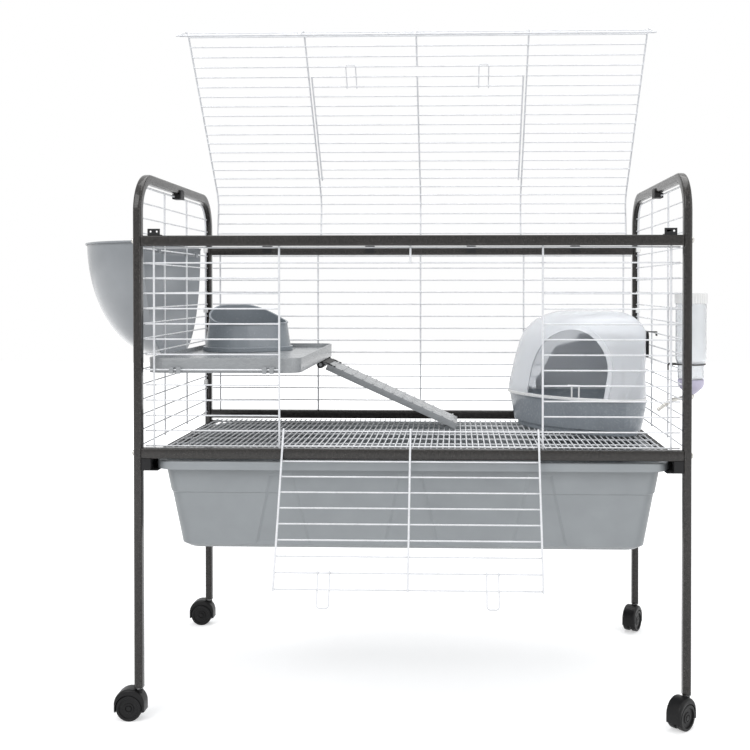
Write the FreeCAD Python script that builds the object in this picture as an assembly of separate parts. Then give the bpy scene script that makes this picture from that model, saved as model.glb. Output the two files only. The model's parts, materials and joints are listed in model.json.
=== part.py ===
import FreeCAD
import Part
import math
import os
from FreeCAD import Vector

# Rabbit cage on a wheeled stand. Millimetres, +Z up, the front looks along -Y.
# The origin is on the floor, midway between the four legs.

# Clearances
slip = 0.3          # between pieces that move past each other
seat_gap = 0.05     # between pieces that sit together for good
running = 0.05      # on the radius, between a pin and its bore

# End frames: one bent tube each, an inverted U
leg_span_x = 1056.0     # from one end frame to the other, between tube centres
leg_span_y = 560.0      # from the front leg to the rear leg, between tube centres
frame_height = 1065.0   # top of the bars above the floor
leg_foot = 64.0         # cut end of the legs above the floor
tube_across = 16.0      # tube size along X
tube_deep = 20.0        # tube size in the plane of the frame
tube_wall = 1.5
tube_corner = 4.5
frame_bend = 70.0       # bend radius on the tube's centre line

# Rails between the end frames: square tubes, plugged and bolted at their ends
rail_side = 20.0
rail_wall = 1.5
rail_corner = 2.0
upper_rail_drop = 135.0     # upper rails below the top of the bars
front_lower_rail_z = 519.0
rear_lower_rail_z = 526.0
plug_length = 26.0
bolt_radius = 3.0
bolt_head_radius = 5.5
bolt_head_height = 4.0
bolt_head_round = 2.4
bolt_reach = 20.0       # bolt length inside the plug

# Tray runners: sheet channels on the inner faces of the legs
runner_sheet = 1.5
runner_height = 23.0
runner_flange = 32.0    # lower flange, which carries the tray
runner_ledge = 18.0     # upper ledge, which carries the wire floor
runner_stop = 15.0      # length of the block that closes the front end

# Casters: twin wheels on a hooded fork
wheel_radius = 25.0
wheel_width = 13.0
wheel_round = 2.5       # rounded edges of the tread
wheel_dish_radius = 19.0
wheel_dish = 3.0        # depth of the dished outer face
fin = 5.0               # thickness of the fork's middle web
fin_gap = 0.4           # between the web and a wheel
hood_clear = 1.2        # between a wheel's tread and the hood
hood_skin = 3.7         # hood past the wheel space, to the front and rear
hood_rise = 7.0         # hood's centre above the axle
hood_skirt = 7.0        # hood's lower edge below the axle
hood_round = 5.0
trail = 17.0            # from the stem's axis to the axle
stem_radius = 5.0
stem_length = 31.0
neck_radius = 7.0
neck_height = 10.0
axle_radius = 3.0
axle_head_radius = 5.0
axle_head = 1.5
washer_radius = 8.0
washer_height = 1.5
socket_depth = 32.0     # caster socket inside the leg
socket_flange = 1.5
headings = {"front_left": 180.0, "rear_left": 180.0, "front_right": 225.0, "rear_right": 240.0}

# Wire panels
stay_r = 2.0            # uprights and borders
line_r = 1.5            # cross lines
row_count = 14          # cross lines of the front panel
row_margin = 2.85       # first and last line to the rails
panel_setback = 6.0     # rail's centre to the plane of the lines
line_inset = 4.0        # ends of the lines to the legs
stay_inset = 22.0       # outer uprights to the legs
opening_half = 254.0    # half width of the door opening
sill_row = 1            # line that the front door hangs on
border_gap = 6.0        # side panel's border to the frame tube
border_tail = 7.0       # border's ends below the first line
side_stay_y = 88.0

# Clips that hold the side panels in the frames
clip_rows = (2, 8, 13)
clip_height = 12.0
clip_across = 8.8
clip_past = 3.0         # clip past the border wire
bar_clip_length = 30.0
bar_clip_plate = 3.0
bar_clip_height = 20.0
bar_clip_corner = 9.0
bar_clip_drop = 5.0     # clip's lower face below the border wire's centre

# Wire floor
grid_bars = 8           # bars along X under the lines
grid_bar_inset = 25.0   # first bar to the legs' inner faces
grid_bar_end = 12.0     # bars' ends to the legs' inner faces
grid_pitch = 12.2       # from line to line
grid_line_end = 8.0     # lines' ends to the legs' inner faces

# Lid: hinged on the rear upper rail, bent over the cage
hinge_rise = 8.0        # hinge wire above the rail
lid_back_run = 72.0     # slanted back, measured level
lid_rise = 80.0         # top of the lid above the hinge
lid_lip_run = 30.0      # slanted front lip, measured level
lid_back_bend = 60.0
lid_lip_bend = 25.0
lid_side_gap = 15.0     # lid's outer wires to the frames
lid_stay_x = 247.0      # inner wires, each side of the lid door
lid_pitch = 25.0        # from line to line
lid_open = 50.0         # angle at which the lid stands open
lid_first = 7           # line that the lid door hangs on
lid_door_rows = 12      # lines from there to the line that the latches hook
lid_end_room = 12.0     # last line to the lip's end
lid_rest = 0.5          # lip wire above its tabs
tab_foot = 2.0
tab_width = 24.0
tab_leaf = 13.0
tab_sheet = 2.0
tab_inset = 1.0         # tab's leaf behind the rail's front face
tab_hole = 2.0
tab_hole_spread = 12.0
saddle_x = (-380.0, -125.0, 125.0, 380.0)
saddle_width = 22.0
saddle_sheet = 2.0
saddle_drop = 15.0      # saddle's sides down the rail
saddle_boss = 5.0

# Wire doors, in the lid and in the front, and their latches
door_side_gap = 8.0     # door's sides to the uprights of its opening
door_stub = 4.0         # uprights past the last line
hook_turn = 230.0       # hooks round the hinge wire
hinge_off = line_r + slip + stay_r
latch_r = 1.25
latch_clear = 0.6       # between a latch and the line that it turns on
latch_half = 11.0
latch_bend = 6.0
latch_over = 3.0        # latch past the line that it hooks
latch_turn = 240.0
front_latch_x = 155.0
lid_latch_x = 150.0

# Litter tray
tray_side_gap = 20.0    # rim to the legs' inner faces
tray_end_gap = 2.0      # rim to the legs' outer faces, front and rear
tray_corner = 45.0
tray_drop = 5.0         # rim below the top of the runners
tray_flange = 3.0
tray_lip = 2.5
tray_neck = 14.0        # rim to the tray's wall
tray_taper = 29.0       # wall drawn in from rim to bottom
tray_depth = 180.0
tray_wall = 3.0
tray_step = 2.0
tray_step_depth = 62.0
tray_heel = 12.0        # sloped edge round the bottom

# Shelf on the left, hung on the front and rear panels
shelf_row = 5
shelf_length = 302.0
shelf_side_gap = 10.0   # shelf to the side panel's lines
shelf_end_gap = 4.0     # shelf to the planes of the legs
shelf_drop = 7.0        # lower edge below the line that it hangs on
shelf_height = 29.0
shelf_rim = 10.0        # rim above the floor
shelf_floor = 3.0
shelf_wall = 3.0
shelf_corner = 30.0
shelf_columns = 3       # hollows under the deck
shelf_lines = 4
shelf_hook_width = 8.0
shelf_hook_pair = 14.0  # between the two prongs of a pair
shelf_hook_inset = 60.0
shelf_hook_thick = 3.0
shelf_hook_drop = 9.0

# Ramp from the shelf to the floor
ramp_y = 150.0
ramp_width = 125.0
ramp_length = 340.0
ramp_wall = 3.0
ramp_side = 14.0        # height of the sides under the deck
ramp_sole = 6.0         # sides' lower edge below the pin's axis
ramp_start = 14.0       # sides from the pin
ramp_rungs = 13
rung_height = 2.0       # rungs above the deck
rung_thick = 4.0
pin_radius = 4.0
barrel_radius = 8.0
lug_thick = 8.0
pin_drop = 10.0         # pin below the shelf
pin_inset = 6.0         # pin inside the shelf's edge

# Food bowl on the shelf
bowl_x = -402.0
bowl_y = 150.0
bowl_turn = 36.0        # turned about its upright axis
bowl_half_x = 98.0      # half sizes at its foot
bowl_half_y = 84.0
bowl_corner = 76.0
bowl_draw = 12.0        # wall drawn in at the rim
bowl_wall = 2.5
bowl_back = 107.0
bowl_front = 62.0
bowl_flange = 5.0
bowl_flange_height = 6.0

# Corner house
house_gap_x = 12.0      # house to the plane of the right legs
house_gap_y = 15.0      # house to the plane of the rear legs
house_radius = 300.0
house_round = 60.0      # upright corners at the ends of the curved front
house_wall = 3.0
house_foot = 12.0
house_foot_inset = 8.0  # foot inside the pan's bottom
house_pan = 64.0
house_draft = 12.0      # pan drawn in at its bottom
house_back_root = 4.0   # back plates down into the pan's wall
# Upper edge of the back plates: reach from the house corner and height above the pan, then the bends
house_back_line = ((226.0, 26.0), (210.0, 44.0), (178.0, 108.0), (130.0, 116.0), (122.0, 136.0))
house_back_bends = (6.0, 50.0, 36.0, 8.0, 8.0)
hood_radius = 299.5
hood_top_radius = 240.0     # where the sides would meet the top
hood_top = 193.0
hood_top_bend = 115.0
hood_side_round = 55.0  # upper edges of the straight sides
hood_wall = 2.0
arch_turn = 231.0       # direction of the doorway from the house corner
arch_half = 101.0
arch_sill = 7.0         # sill above the pan
arch_spring = 52.0      # start of the round top above the pan
arch_frame = 9.0
arch_proud = 2.5
clip_half = 17.0
clip_rise = 27.0
clip_thick = 3.0
clip_corner = 6.0
clip_angle = 238.0      # direction of the clip from the house corner
strap_row = 7
strap_y = 30.0
strap_half = 13.0       # half width of the oval plate
strap_corner = 12.5
strap_thick = 4.0
strap_length = 58.0
strap_hook = 8.0
strap_hook_half = 6.0
strap_hook_thick = 2.0

# Hay rack outside the left panel
rack_row = 13
rack_rise = 17.0        # rim above the line that it hangs on
rack_out = 182.0
rack_half_y = 225.0
rack_depth = 243.0
rack_curve = 157.0      # level reach of the wall's curve down to the bottom
rack_wall = 2.5
rack_lip = 4.0
rack_lip_height = 3.0
rack_bar = 22.0         # strip along the panel
rack_hook_y = 150.0
rack_hook_half = 8.0
rack_hook_thick = 3.0
rack_hook_drop = 8.0

# Water bottle outside the right panel
bottle_row = 5
bottle_y = -135.0
bottle_gap = 4.0        # bottle to the side panel
bottle_radius = 31.0
bottle_wall = 1.5
bottle_neck_radius = 27.0
bottle_neck = 33.0      # height of the narrow part
bottle_shoulder = 8.0
bottle_body = 120.0     # height of the wide part
cap_wall = 2.0
cap_skirt = 6.0         # screw lid over the bottle's rim
cap_height = 24.0
cap_round = 4.0
nozzle_height = 30.0
nozzle_end_radius = 9.0
nozzle_round = 26.0
ball_radius = 7.0
ball_drop = 5.0         # ball's centre below the nozzle
spout_radius = 4.0
spout_bore = 2.8
spout_run = 38.0        # level part
spout_fall = 7.0
spout_tip_run = 29.0    # slanted part
spout_tip_fall = 21.0
spout_bend = 14.0
drip_radius = 2.6
holder_half = 14.0
holder_tail = 12.0

# Places worked out from the sizes above
leg_x = leg_span_x / 2
leg_y = leg_span_y / 2
leg_in_x = leg_x - tube_across / 2
leg_in_y = leg_y - tube_deep / 2
bar_z = frame_height - tube_deep / 2
upper_rail_z = frame_height - upper_rail_drop
rail_half = rail_side / 2
rail_top = upper_rail_z + rail_half
front_rail_top = front_lower_rail_z + rail_half
rear_rail_top = rear_lower_rail_z + rail_half
runner_top = front_lower_rail_z - rail_half
runner_foot = runner_top - runner_height
tray_half_x = leg_in_x - tray_side_gap
tray_half_y = leg_y + tube_deep / 2 - tray_end_gap
layer = line_r + seat_gap + stay_r
first_row = front_rail_top + row_margin
row_pitch = (upper_rail_z - rail_half - row_margin - first_row) / (row_count - 1)
head_row = row_count - 2
line_y = leg_y - panel_setback
stay_y = line_y + layer
stay_x = leg_in_x - stay_inset
border_y = leg_in_y - border_gap
border_top = frame_height - tube_deep - border_gap
border_bend = frame_bend - tube_deep / 2 - border_gap
grid_top = runner_top + seat_gap + 2 * stay_r + seat_gap + 2 * line_r
hinge = Vector(0, leg_y, rail_top + hinge_rise)
lid_x = leg_in_x - lid_side_gap
axle_z = wheel_radius
wheel_in = fin / 2 + fin_gap
wheel_out = wheel_in + wheel_width
nothing = 1e-6


def row_z(row):
    """Height of a panel's cross line."""
    return first_row + row * row_pitch


def box(x1, x2, y1, y2, z1, z2):
    """Block between three pairs of planes."""
    return Part.makeBox(x2 - x1, y2 - y1, z2 - z1, Vector(x1, y1, z1))


def rod(start, end, radius):
    """Straight round bar."""
    return Part.makeCylinder(radius, (end - start).Length, start, end - start)


def bent_path(points, radii):
    """Edges of a path through points, with a round bend at each inner point."""
    edges = []
    start = points[0]
    for before, corner, after, radius in zip(points, points[1:], points[2:], radii):
        into = (corner - before).normalize()
        out = (after - corner).normalize()
        turn = into.getAngle(out)
        back = radius * math.tan(turn / 2)
        first = corner - into * back
        last = corner + out * back
        middle = corner + (out - into).normalize() * (radius / math.cos(turn / 2) - radius)
        if (first - start).Length > nothing:
            edges.append(Part.LineSegment(start, first).toShape())
        edges.append(Part.Arc(first, middle, last).toShape())
        start = last
    if (points[-1] - start).Length > nothing:
        edges.append(Part.LineSegment(start, points[-1]).toShape())
    return edges


def arc_yz(x, y, z, radius, first, last):
    """Arc in a plane square to X, between two angles in degrees."""
    def at(angle):
        turn = math.radians(angle)
        return Vector(x, y + radius * math.cos(turn), z + radius * math.sin(turn))
    return Part.Arc(at(first), at((first + last) / 2), at(last)).toShape()


def sweep(edges, ring):
    """Solid swept by a closed outline along a path."""
    return Part.Wire(edges).makePipeShell([ring], True, False)


def wire_on(edges, radius):
    """Bent round wire along a path."""
    start = edges[0].valueAt(edges[0].FirstParameter)
    heading = edges[0].tangentAt(edges[0].FirstParameter)
    return sweep(edges, Part.Wire(Part.makeCircle(radius, start, heading)))


def stretch(edges, first, last):
    """The part of a path between two lengths along it."""
    pieces = []
    for edge in edges:
        low = max(first, 0.0)
        high = min(last, edge.Length)
        if high - low > nothing:
            ends = [edge.getParameterByLength(length) for length in (low, high)]
            pieces.append(edge.Curve.toShape(*ends))
        first -= edge.Length
        last -= edge.Length
    return pieces


def along(edges, length):
    """Point and heading at a length along a path."""
    for edge in edges:
        if length <= edge.Length:
            at = edge.getParameterByLength(length)
            return edge.valueAt(at), edge.tangentAt(at)
        length -= edge.Length
    return None


def rounded_wire(half_x, half_y, corner, z, x=0.0, y=0.0):
    """Level rectangle with round corners."""
    middle = Vector(x + half_x, y, z)
    corners = [Vector(x + half_x, y + half_y, z), Vector(x - half_x, y + half_y, z)]
    corners += [Vector(x - half_x, y - half_y, z), Vector(x + half_x, y - half_y, z)]
    return Part.Wire(bent_path([middle] + corners + [middle], [corner] * len(corners)))


def rounded_box(half_x, half_y, corner, z1, z2, x=0.0, y=0.0):
    """Upright block with round corners."""
    return Part.Face(rounded_wire(half_x, half_y, corner, z1, x, y)).extrude(Vector(0, 0, z2 - z1))


def prism(points, travel):
    """Solid drawn out from a flat outline of straight edges."""
    return Part.Face(Part.makePolygon(points + points[:1])).extrude(travel)


def turned(outline, x, y):
    """Solid of revolution about an upright axis, from radius and height pairs."""
    points = [Vector(radius, 0, z) for radius, z in outline]
    face = Part.Face(Part.makePolygon(points + points[:1]))
    return face.revolve(Vector(), Vector(0, 0, 1), 360).translated(Vector(x, y, 0))


def fuse(solids):
    """One solid from several that meet."""
    return solids[0].multiFuse(solids[1:]).removeSplitter()


def save(node, solids):
    """Write the solids of one node to its file."""
    shape = solids[0] if len(solids) == 1 else Part.makeCompound(solids)
    shape.exportStep("parts/" + node + ".step")


def bolt_seats():
    """Y and Z of the four rails, each with a bolt at both ends."""
    upper = [(-leg_y, upper_rail_z), (leg_y, upper_rail_z)]
    return upper + [(-leg_y, front_lower_rail_z), (leg_y, rear_lower_rail_z)]


def end_frame(side):
    """Bent tube with its bolt holes."""
    x = side * leg_x
    points = [Vector(x, -leg_y, leg_foot), Vector(x, -leg_y, bar_z)]
    points += [Vector(x, leg_y, bar_z), Vector(x, leg_y, leg_foot)]
    path = bent_path(points, [frame_bend, frame_bend])
    outer = rounded_wire(tube_across / 2, tube_deep / 2, tube_corner, leg_foot, x, -leg_y)
    inner = rounded_wire(tube_across / 2 - tube_wall, tube_deep / 2 - tube_wall,
                         tube_corner - tube_wall, leg_foot, x, -leg_y)
    tube = sweep(path, outer).cut(sweep(path, inner))
    holes = []
    for y, z in bolt_seats():
        start = Vector(x - tube_across, y, z)
        holes.append(rod(start, start + Vector(2 * tube_across, 0, 0), bolt_radius + running))
    return tube.cut(Part.makeCompound(holes))


def rail(y, z):
    """Square tube between the end frames."""
    half_length = leg_in_x - seat_gap
    outer = rounded_box(rail_half, rail_half, rail_corner, -half_length, half_length)
    inner_half = rail_half - rail_wall
    inner = rounded_box(inner_half, inner_half, rail_corner - rail_wall, -half_length, half_length)
    tube = outer.cut(inner)
    return tube.rotated(Vector(), Vector(0, 1, 0), 90).translated(Vector(0, y, z))


def rail_plug(side, y, z):
    """Block in a rail's end, bored for its bolt."""
    half = rail_half - rail_wall - seat_gap
    out = leg_in_x - seat_gap
    block = box(out - plug_length, out, y - half, y + half, z - half, z + half)
    bore = rod(Vector(out - plug_length, y, z), Vector(out, y, z), bolt_radius + running)
    plug = block.cut(bore)
    return plug if side > 0 else plug.mirror(Vector(), Vector(1, 0, 0))


def rail_bolt(side, y, z):
    """Bolt with a domed head, through a leg into a plug."""
    face = leg_x + tube_across / 2 + seat_gap
    head = rod(Vector(face, y, z), Vector(face + bolt_head_height, y, z), bolt_head_radius)
    rim = [edge for edge in head.Edges if edge.CenterOfMass.x > face + bolt_head_height / 2]
    rim = [edge for edge in rim if edge.Closed]
    shank = rod(Vector(leg_in_x - bolt_reach, y, z), Vector(face, y, z), bolt_radius)
    bolt = fuse([head.makeFillet(bolt_head_round, rim), shank])
    return bolt if side > 0 else bolt.mirror(Vector(), Vector(1, 0, 0))


def tray_runner(side):
    """Channel along the legs, closed at its front end."""
    face = leg_in_x - seat_gap
    length = leg_span_y + tube_deep
    outline = [(0, runner_foot), (runner_flange, runner_foot), (runner_flange, runner_foot + runner_sheet)]
    outline += [(runner_sheet, runner_foot + runner_sheet), (runner_sheet, runner_top - runner_sheet)]
    outline += [(runner_ledge, runner_top - runner_sheet), (runner_ledge, runner_top), (0, runner_top)]
    points = [Vector(side * (face - inward), -length / 2, z) for inward, z in outline]
    channel = prism(points, Vector(0, length, 0))
    ends = sorted([side * (face - runner_ledge), side * (face - runner_sheet)])
    stop = box(ends[0], ends[1], -length / 2, runner_stop - length / 2,
               runner_foot + runner_sheet, runner_top - runner_sheet)
    return fuse([channel, stop])


def caster_socket(x, y):
    """Plug in a leg's end, with a flange under it and a bore for the stem."""
    half_x = tube_across / 2
    half_y = tube_deep / 2
    inset = tube_wall + seat_gap
    plug = rounded_box(half_x - inset, half_y - inset, tube_corner - inset,
                       leg_foot - socket_flange, leg_foot + socket_depth, x, y)
    flange = rounded_box(half_x, half_y, tube_corner, leg_foot - socket_flange, leg_foot - seat_gap, x, y)
    bore = rod(Vector(x, y, 0), Vector(x, y, leg_foot + socket_depth), stem_radius + running)
    return fuse([plug, flange]).cut(bore)


def caster_washer(x, y):
    """Ring between a socket and the caster's neck."""
    top = leg_foot - socket_flange - seat_gap
    ring = rod(Vector(x, y, top - washer_height), Vector(x, y, top), washer_radius)
    return ring.cut(rod(Vector(x, y, 0), Vector(x, y, top), stem_radius + slip))


def caster_fork():
    """Hood over two wheels with its middle web, neck and stem, stem axis at the origin."""
    reach = wheel_radius + hood_clear + hood_skin
    centre = axle_z + hood_rise
    foot = axle_z - hood_skirt
    outline = [(trail - reach, centre), (trail, centre + reach), (trail + reach, centre)]
    outline += [(trail + reach, foot), (trail - reach, foot), (trail - reach, centre)]
    points = [Vector(x, -wheel_out, z) for x, z in outline]
    edges = [Part.Arc(*points[:3]).toShape()] + Part.makePolygon(points[2:]).Edges
    hood = Part.Face(Part.Wire(edges)).extrude(Vector(0, 2 * wheel_out, 0))
    rims = [edge for edge in hood.Edges if isinstance(edge.Curve, Part.Circle)]
    hood = hood.makeFillet(hood_round, rims)
    space = wheel_radius + hood_clear
    for side in (-1, 1):
        inner = Vector(trail, side * fin / 2, axle_z)
        hood = hood.cut(rod(inner, inner + Vector(0, side * 2 * wheel_out, 0), space))
    neck_top = leg_foot - socket_flange - seat_gap - washer_height - slip
    neck = rod(Vector(0, 0, neck_top - neck_height), Vector(0, 0, neck_top), neck_radius)
    stem = rod(Vector(0, 0, neck_top - neck_height), Vector(0, 0, neck_top + stem_length), stem_radius)
    fork = fuse([hood, neck, stem])
    return fork.cut(rod(Vector(trail, -fin, axle_z), Vector(trail, fin, axle_z), axle_radius + seat_gap))


def caster_axle():
    """Pin through the web and both wheels, with a head at each end."""
    face = wheel_out - wheel_dish + slip
    ends = [Vector(trail, -face, axle_z), Vector(trail, face, axle_z)]
    head = Vector(0, axle_head, 0)
    heads = [rod(ends[0] - head, ends[0], axle_head_radius), rod(ends[1], ends[1] + head, axle_head_radius)]
    return fuse([rod(ends[0], ends[1], axle_radius)] + heads)


def caster_wheel(side):
    """Wheel with a dished outer face and a round tread."""
    inner = Vector(trail, side * wheel_in, axle_z)
    out = Vector(0, side, 0)
    disc = rod(inner, inner + out * wheel_width, wheel_radius)
    disc = disc.makeFillet(wheel_round, [edge for edge in disc.Edges if edge.Closed])
    dish_floor = inner + out * (wheel_width - wheel_dish)
    dish = rod(dish_floor, dish_floor + out * wheel_width, wheel_dish_radius)
    bore = rod(inner, inner + out * wheel_width, axle_radius + running)
    return disc.cut(dish).cut(bore)


def front_panel():
    """Cross lines and uprights round the door opening."""
    solids = []
    end = leg_in_x - line_inset
    for row in range(row_count):
        z = row_z(row)
        if sill_row < row < head_row:
            solids.append(rod(Vector(-end, -line_y, z), Vector(-opening_half + line_r, -line_y, z), line_r))
            solids.append(rod(Vector(opening_half - line_r, -line_y, z), Vector(end, -line_y, z), line_r))
        else:
            solids.append(rod(Vector(-end, -line_y, z), Vector(end, -line_y, z), line_r))
    top = upper_rail_z - rail_half - seat_gap
    for x in (-stay_x, -opening_half, opening_half, stay_x):
        solids.append(rod(Vector(x, -stay_y, front_rail_top + seat_gap), Vector(x, -stay_y, top), stay_r))
    solids.append(rod(Vector(0, -stay_y, row_z(head_row) - stay_r), Vector(0, -stay_y, top), stay_r))
    return solids


def rear_panel():
    """Cross lines and uprights over the whole back."""
    solids = []
    end = leg_in_x - line_inset
    for row in range(row_count):
        if row_z(row) > rear_rail_top + line_r:
            solids.append(rod(Vector(-end, line_y, row_z(row)), Vector(end, line_y, row_z(row)), line_r))
    foot = rear_rail_top + seat_gap
    top = upper_rail_z - rail_half - seat_gap
    for x in (-stay_x, -opening_half, 0, opening_half, stay_x):
        solids.append(rod(Vector(x, stay_y, foot), Vector(x, stay_y, top), stay_r))
    return solids


def border_half(z):
    """Half length of a side panel's line at a height, out to the border's centre."""
    rise = z - (border_top - border_bend)
    if rise <= 0:
        return border_y
    return border_y - border_bend + math.sqrt(border_bend ** 2 - rise ** 2)


def side_panel(side):
    """Border bent like the frame, two uprights and the cross lines."""
    line_x = side * leg_x
    outer_x = side * (leg_x + layer)
    foot = first_row - border_tail
    points = [Vector(outer_x, -border_y, foot), Vector(outer_x, -border_y, border_top)]
    points += [Vector(outer_x, border_y, border_top), Vector(outer_x, border_y, foot)]
    solids = [wire_on(bent_path(points, [border_bend, border_bend]), stay_r)]
    for y in (-side_stay_y, side_stay_y):
        top = border_top - stay_r - seat_gap
        solids.append(rod(Vector(outer_x, y, foot), Vector(outer_x, y, top), stay_r))
    row = 0
    while row_z(row) < border_top - row_pitch / 2:
        half = border_half(row_z(row))
        solids.append(rod(Vector(line_x, -half, row_z(row)), Vector(line_x, half, row_z(row)), line_r))
        row += 1
    return solids


def leg_clip(side, end, row):
    """Block on a leg, bored for the side panel's border."""
    x = leg_x + layer
    z = row_z(row) + row_pitch / 2
    block = box(x - clip_across / 2, x + clip_across / 2, border_y - stay_r - clip_past, leg_in_y - seat_gap,
                z - clip_height / 2, z + clip_height / 2)
    bore = rod(Vector(x, border_y, z - clip_height), Vector(x, border_y, z + clip_height), stay_r + seat_gap)
    clip = block.cut(bore)
    if side < 0:
        clip = clip.mirror(Vector(), Vector(1, 0, 0))
    return clip if end > 0 else clip.mirror(Vector(), Vector(0, 1, 0))


def bar_clip(side):
    """Clip under a frame's top bar, with an oval plate on the bar's inner side."""
    x = leg_x + layer
    half = bar_clip_length / 2
    plate_out = leg_in_x - seat_gap
    plate_in = plate_out - bar_clip_plate
    foot = border_top - bar_clip_drop
    bar_under = frame_height - tube_deep - seat_gap
    bridge = box(plate_in, x + clip_across / 2, -half, half, foot, bar_under)
    bore = rod(Vector(x, -half, border_top), Vector(x, half, border_top), stay_r + seat_gap)
    plate = rounded_box(bar_clip_height / 2, half, bar_clip_corner, plate_in, plate_out)
    plate = plate.rotated(Vector(), Vector(0, 1, 0), 90)
    plate.translate(Vector(0, 0, bar_under))
    clip = fuse([bridge, plate]).cut(bore)
    return clip if side > 0 else clip.mirror(Vector(), Vector(1, 0, 0))


def floor_grid():
    """Bars on the runners' ledges with close lines over them."""
    solids = []
    bar_z = runner_top + seat_gap + stay_r
    line_z = bar_z + layer
    bar_half = leg_in_x - grid_bar_end
    first = -(leg_in_y - grid_bar_inset)
    for index in range(grid_bars):
        y = first - 2 * first * index / (grid_bars - 1)
        solids.append(rod(Vector(-bar_half, y, bar_z), Vector(bar_half, y, bar_z), stay_r))
    line_half = leg_in_y - grid_line_end
    steps = int((bar_half - stay_r) / grid_pitch)
    for index in range(-steps, steps + 1):
        x = index * grid_pitch
        solids.append(rod(Vector(x, -line_half, line_z), Vector(x, line_half, line_z), line_r))
    return solids


def lid_path():
    """Side view of the closed lid, from its hinge to the end of its lip."""
    top = hinge.z + lid_rise
    front = rail_top + seat_gap + tab_foot + lid_rest + stay_r
    points = [hinge, Vector(0, leg_y - lid_back_run, top), Vector(0, -leg_y + lid_lip_run, top)]
    points.append(Vector(0, -leg_y, front))
    return bent_path(points, [lid_back_bend, lid_lip_bend])


def lid_line(path, row):
    """Point of one of the lid's cross lines, inside the bent wires."""
    point, heading = along(path, row * lid_pitch)
    inward = Vector(0, -heading.z, heading.y)
    return point + inward * layer


def opened(solids):
    """Pieces of the lid, turned from the closed lid to the open one."""
    return [solid.rotated(hinge, Vector(1, 0, 0), -lid_open) for solid in solids]


def lid_panel():
    """Hinge wire, lip wire, bent wires and cross lines of the closed lid."""
    path = lid_path()
    length = sum(edge.Length for edge in path)
    last_row = lid_first + lid_door_rows
    tip = along(path, length - nothing)[0]
    solids = []
    for end in (hinge, tip):
        across = Vector(lid_x + stay_r, 0, 0)
        solids.append(rod(end - across, end + across, stay_r))
    butt = stay_r + seat_gap
    hook_room = hinge_off + 2 * stay_r
    spans = {x: [(butt, length - butt)] for x in (-lid_x, -lid_stay_x, lid_stay_x, lid_x)}
    spans[0] = [(butt, lid_first * lid_pitch - hook_room), (last_row * lid_pitch - stay_r, length - butt)]
    for x, parts in spans.items():
        for first, last in parts:
            edges = [edge.translated(Vector(x, 0, 0)) for edge in stretch(path, first, last)]
            solids.append(wire_on(edges, stay_r))
    for row in range(1, int((length - lid_end_room) / lid_pitch) + 1):
        centre = lid_line(path, row)
        ends = [(-lid_x, lid_x)]
        if lid_first < row < last_row:
            ends = [(-lid_x, -lid_stay_x + line_r), (lid_stay_x - line_r, lid_x)]
        for first, last in ends:
            solids.append(rod(centre + Vector(first, 0, 0), centre + Vector(last, 0, 0), line_r))
    return solids


def lid_tab(side):
    """Angle on the front rail that the lid's lip lands on."""
    end = leg_in_x - lid_side_gap + stay_r
    front = -leg_y - rail_half + tab_inset
    foot = rail_top + seat_gap
    plate = box(end - tab_width, end, front, -leg_y + rail_half - tab_inset, foot, foot + tab_foot)
    leaf = box(end - tab_width, end, front, front + tab_sheet, foot, foot + tab_leaf)
    tab = fuse([plate, leaf])
    for offset in (-tab_hole_spread / 2, tab_hole_spread / 2):
        centre = Vector(end - tab_width / 2 + offset, front, foot + (tab_leaf + tab_foot) / 2)
        tab = tab.cut(rod(centre, centre + Vector(0, tab_sheet, 0), tab_hole))
    return tab if side > 0 else tab.mirror(Vector(), Vector(1, 0, 0))


def hinge_saddle(x):
    """Clip over the rear rail, with a bored boss for the lid's hinge wire."""
    half = saddle_width / 2
    inner = rail_half + seat_gap
    outer = inner + saddle_sheet
    shell = box(x - half, x + half, leg_y - outer, leg_y + outer, rail_top - saddle_drop,
                rail_top + seat_gap + saddle_sheet)
    slot = box(x - half, x + half, leg_y - inner, leg_y + inner, rail_top - saddle_drop, rail_top + seat_gap)
    ends = [hinge + Vector(x - half, 0, 0), hinge + Vector(x + half, 0, 0)]
    boss = rod(ends[0], ends[1], saddle_boss)
    web = box(x - half, x + half, leg_y - saddle_boss, leg_y + saddle_boss, rail_top + seat_gap, hinge.z)
    return fuse([shell.cut(slot), boss, web]).cut(rod(ends[0], ends[1], stay_r + running))


def wire_door(half, pitch, rows):
    """Door that stands on its hinge wire, which runs along X through the origin."""
    top = rows * pitch + door_stub
    solids = []
    for x in (-half, 0, half):
        edges = [Part.LineSegment(Vector(x, hinge_off, top), Vector(x, hinge_off, 0)).toShape()]
        edges.append(arc_yz(x, 0, 0, hinge_off, 0, -hook_turn))
        solids.append(wire_on(edges, stay_r))
    y = hinge_off - layer
    for row in range(1, rows + 1):
        z = row * pitch
        solids.append(rod(Vector(-half - stay_r, y, z), Vector(half + stay_r, y, z), line_r))
    return solids


def door_latch(x, pitch, rows):
    """Wire loop that turns on the last line but one of a door and hooks the line past it."""
    eye = line_r + latch_clear + latch_r
    y = hinge_off - layer
    z = (rows - 1) * pitch
    top = z + 2 * pitch + latch_over
    ends = [arc_yz(x - latch_half, y, z, eye, 180 + latch_turn, 180)]
    ends.append(arc_yz(x + latch_half, y, z, eye, 180, 180 + latch_turn))
    points = [Vector(x - latch_half, y - eye, z), Vector(x - latch_half, y - eye, top)]
    points += [Vector(x + latch_half, y - eye, top), Vector(x + latch_half, y - eye, z)]
    return wire_on(ends[:1] + bent_path(points, [latch_bend, latch_bend]) + ends[1:], latch_r)


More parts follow.
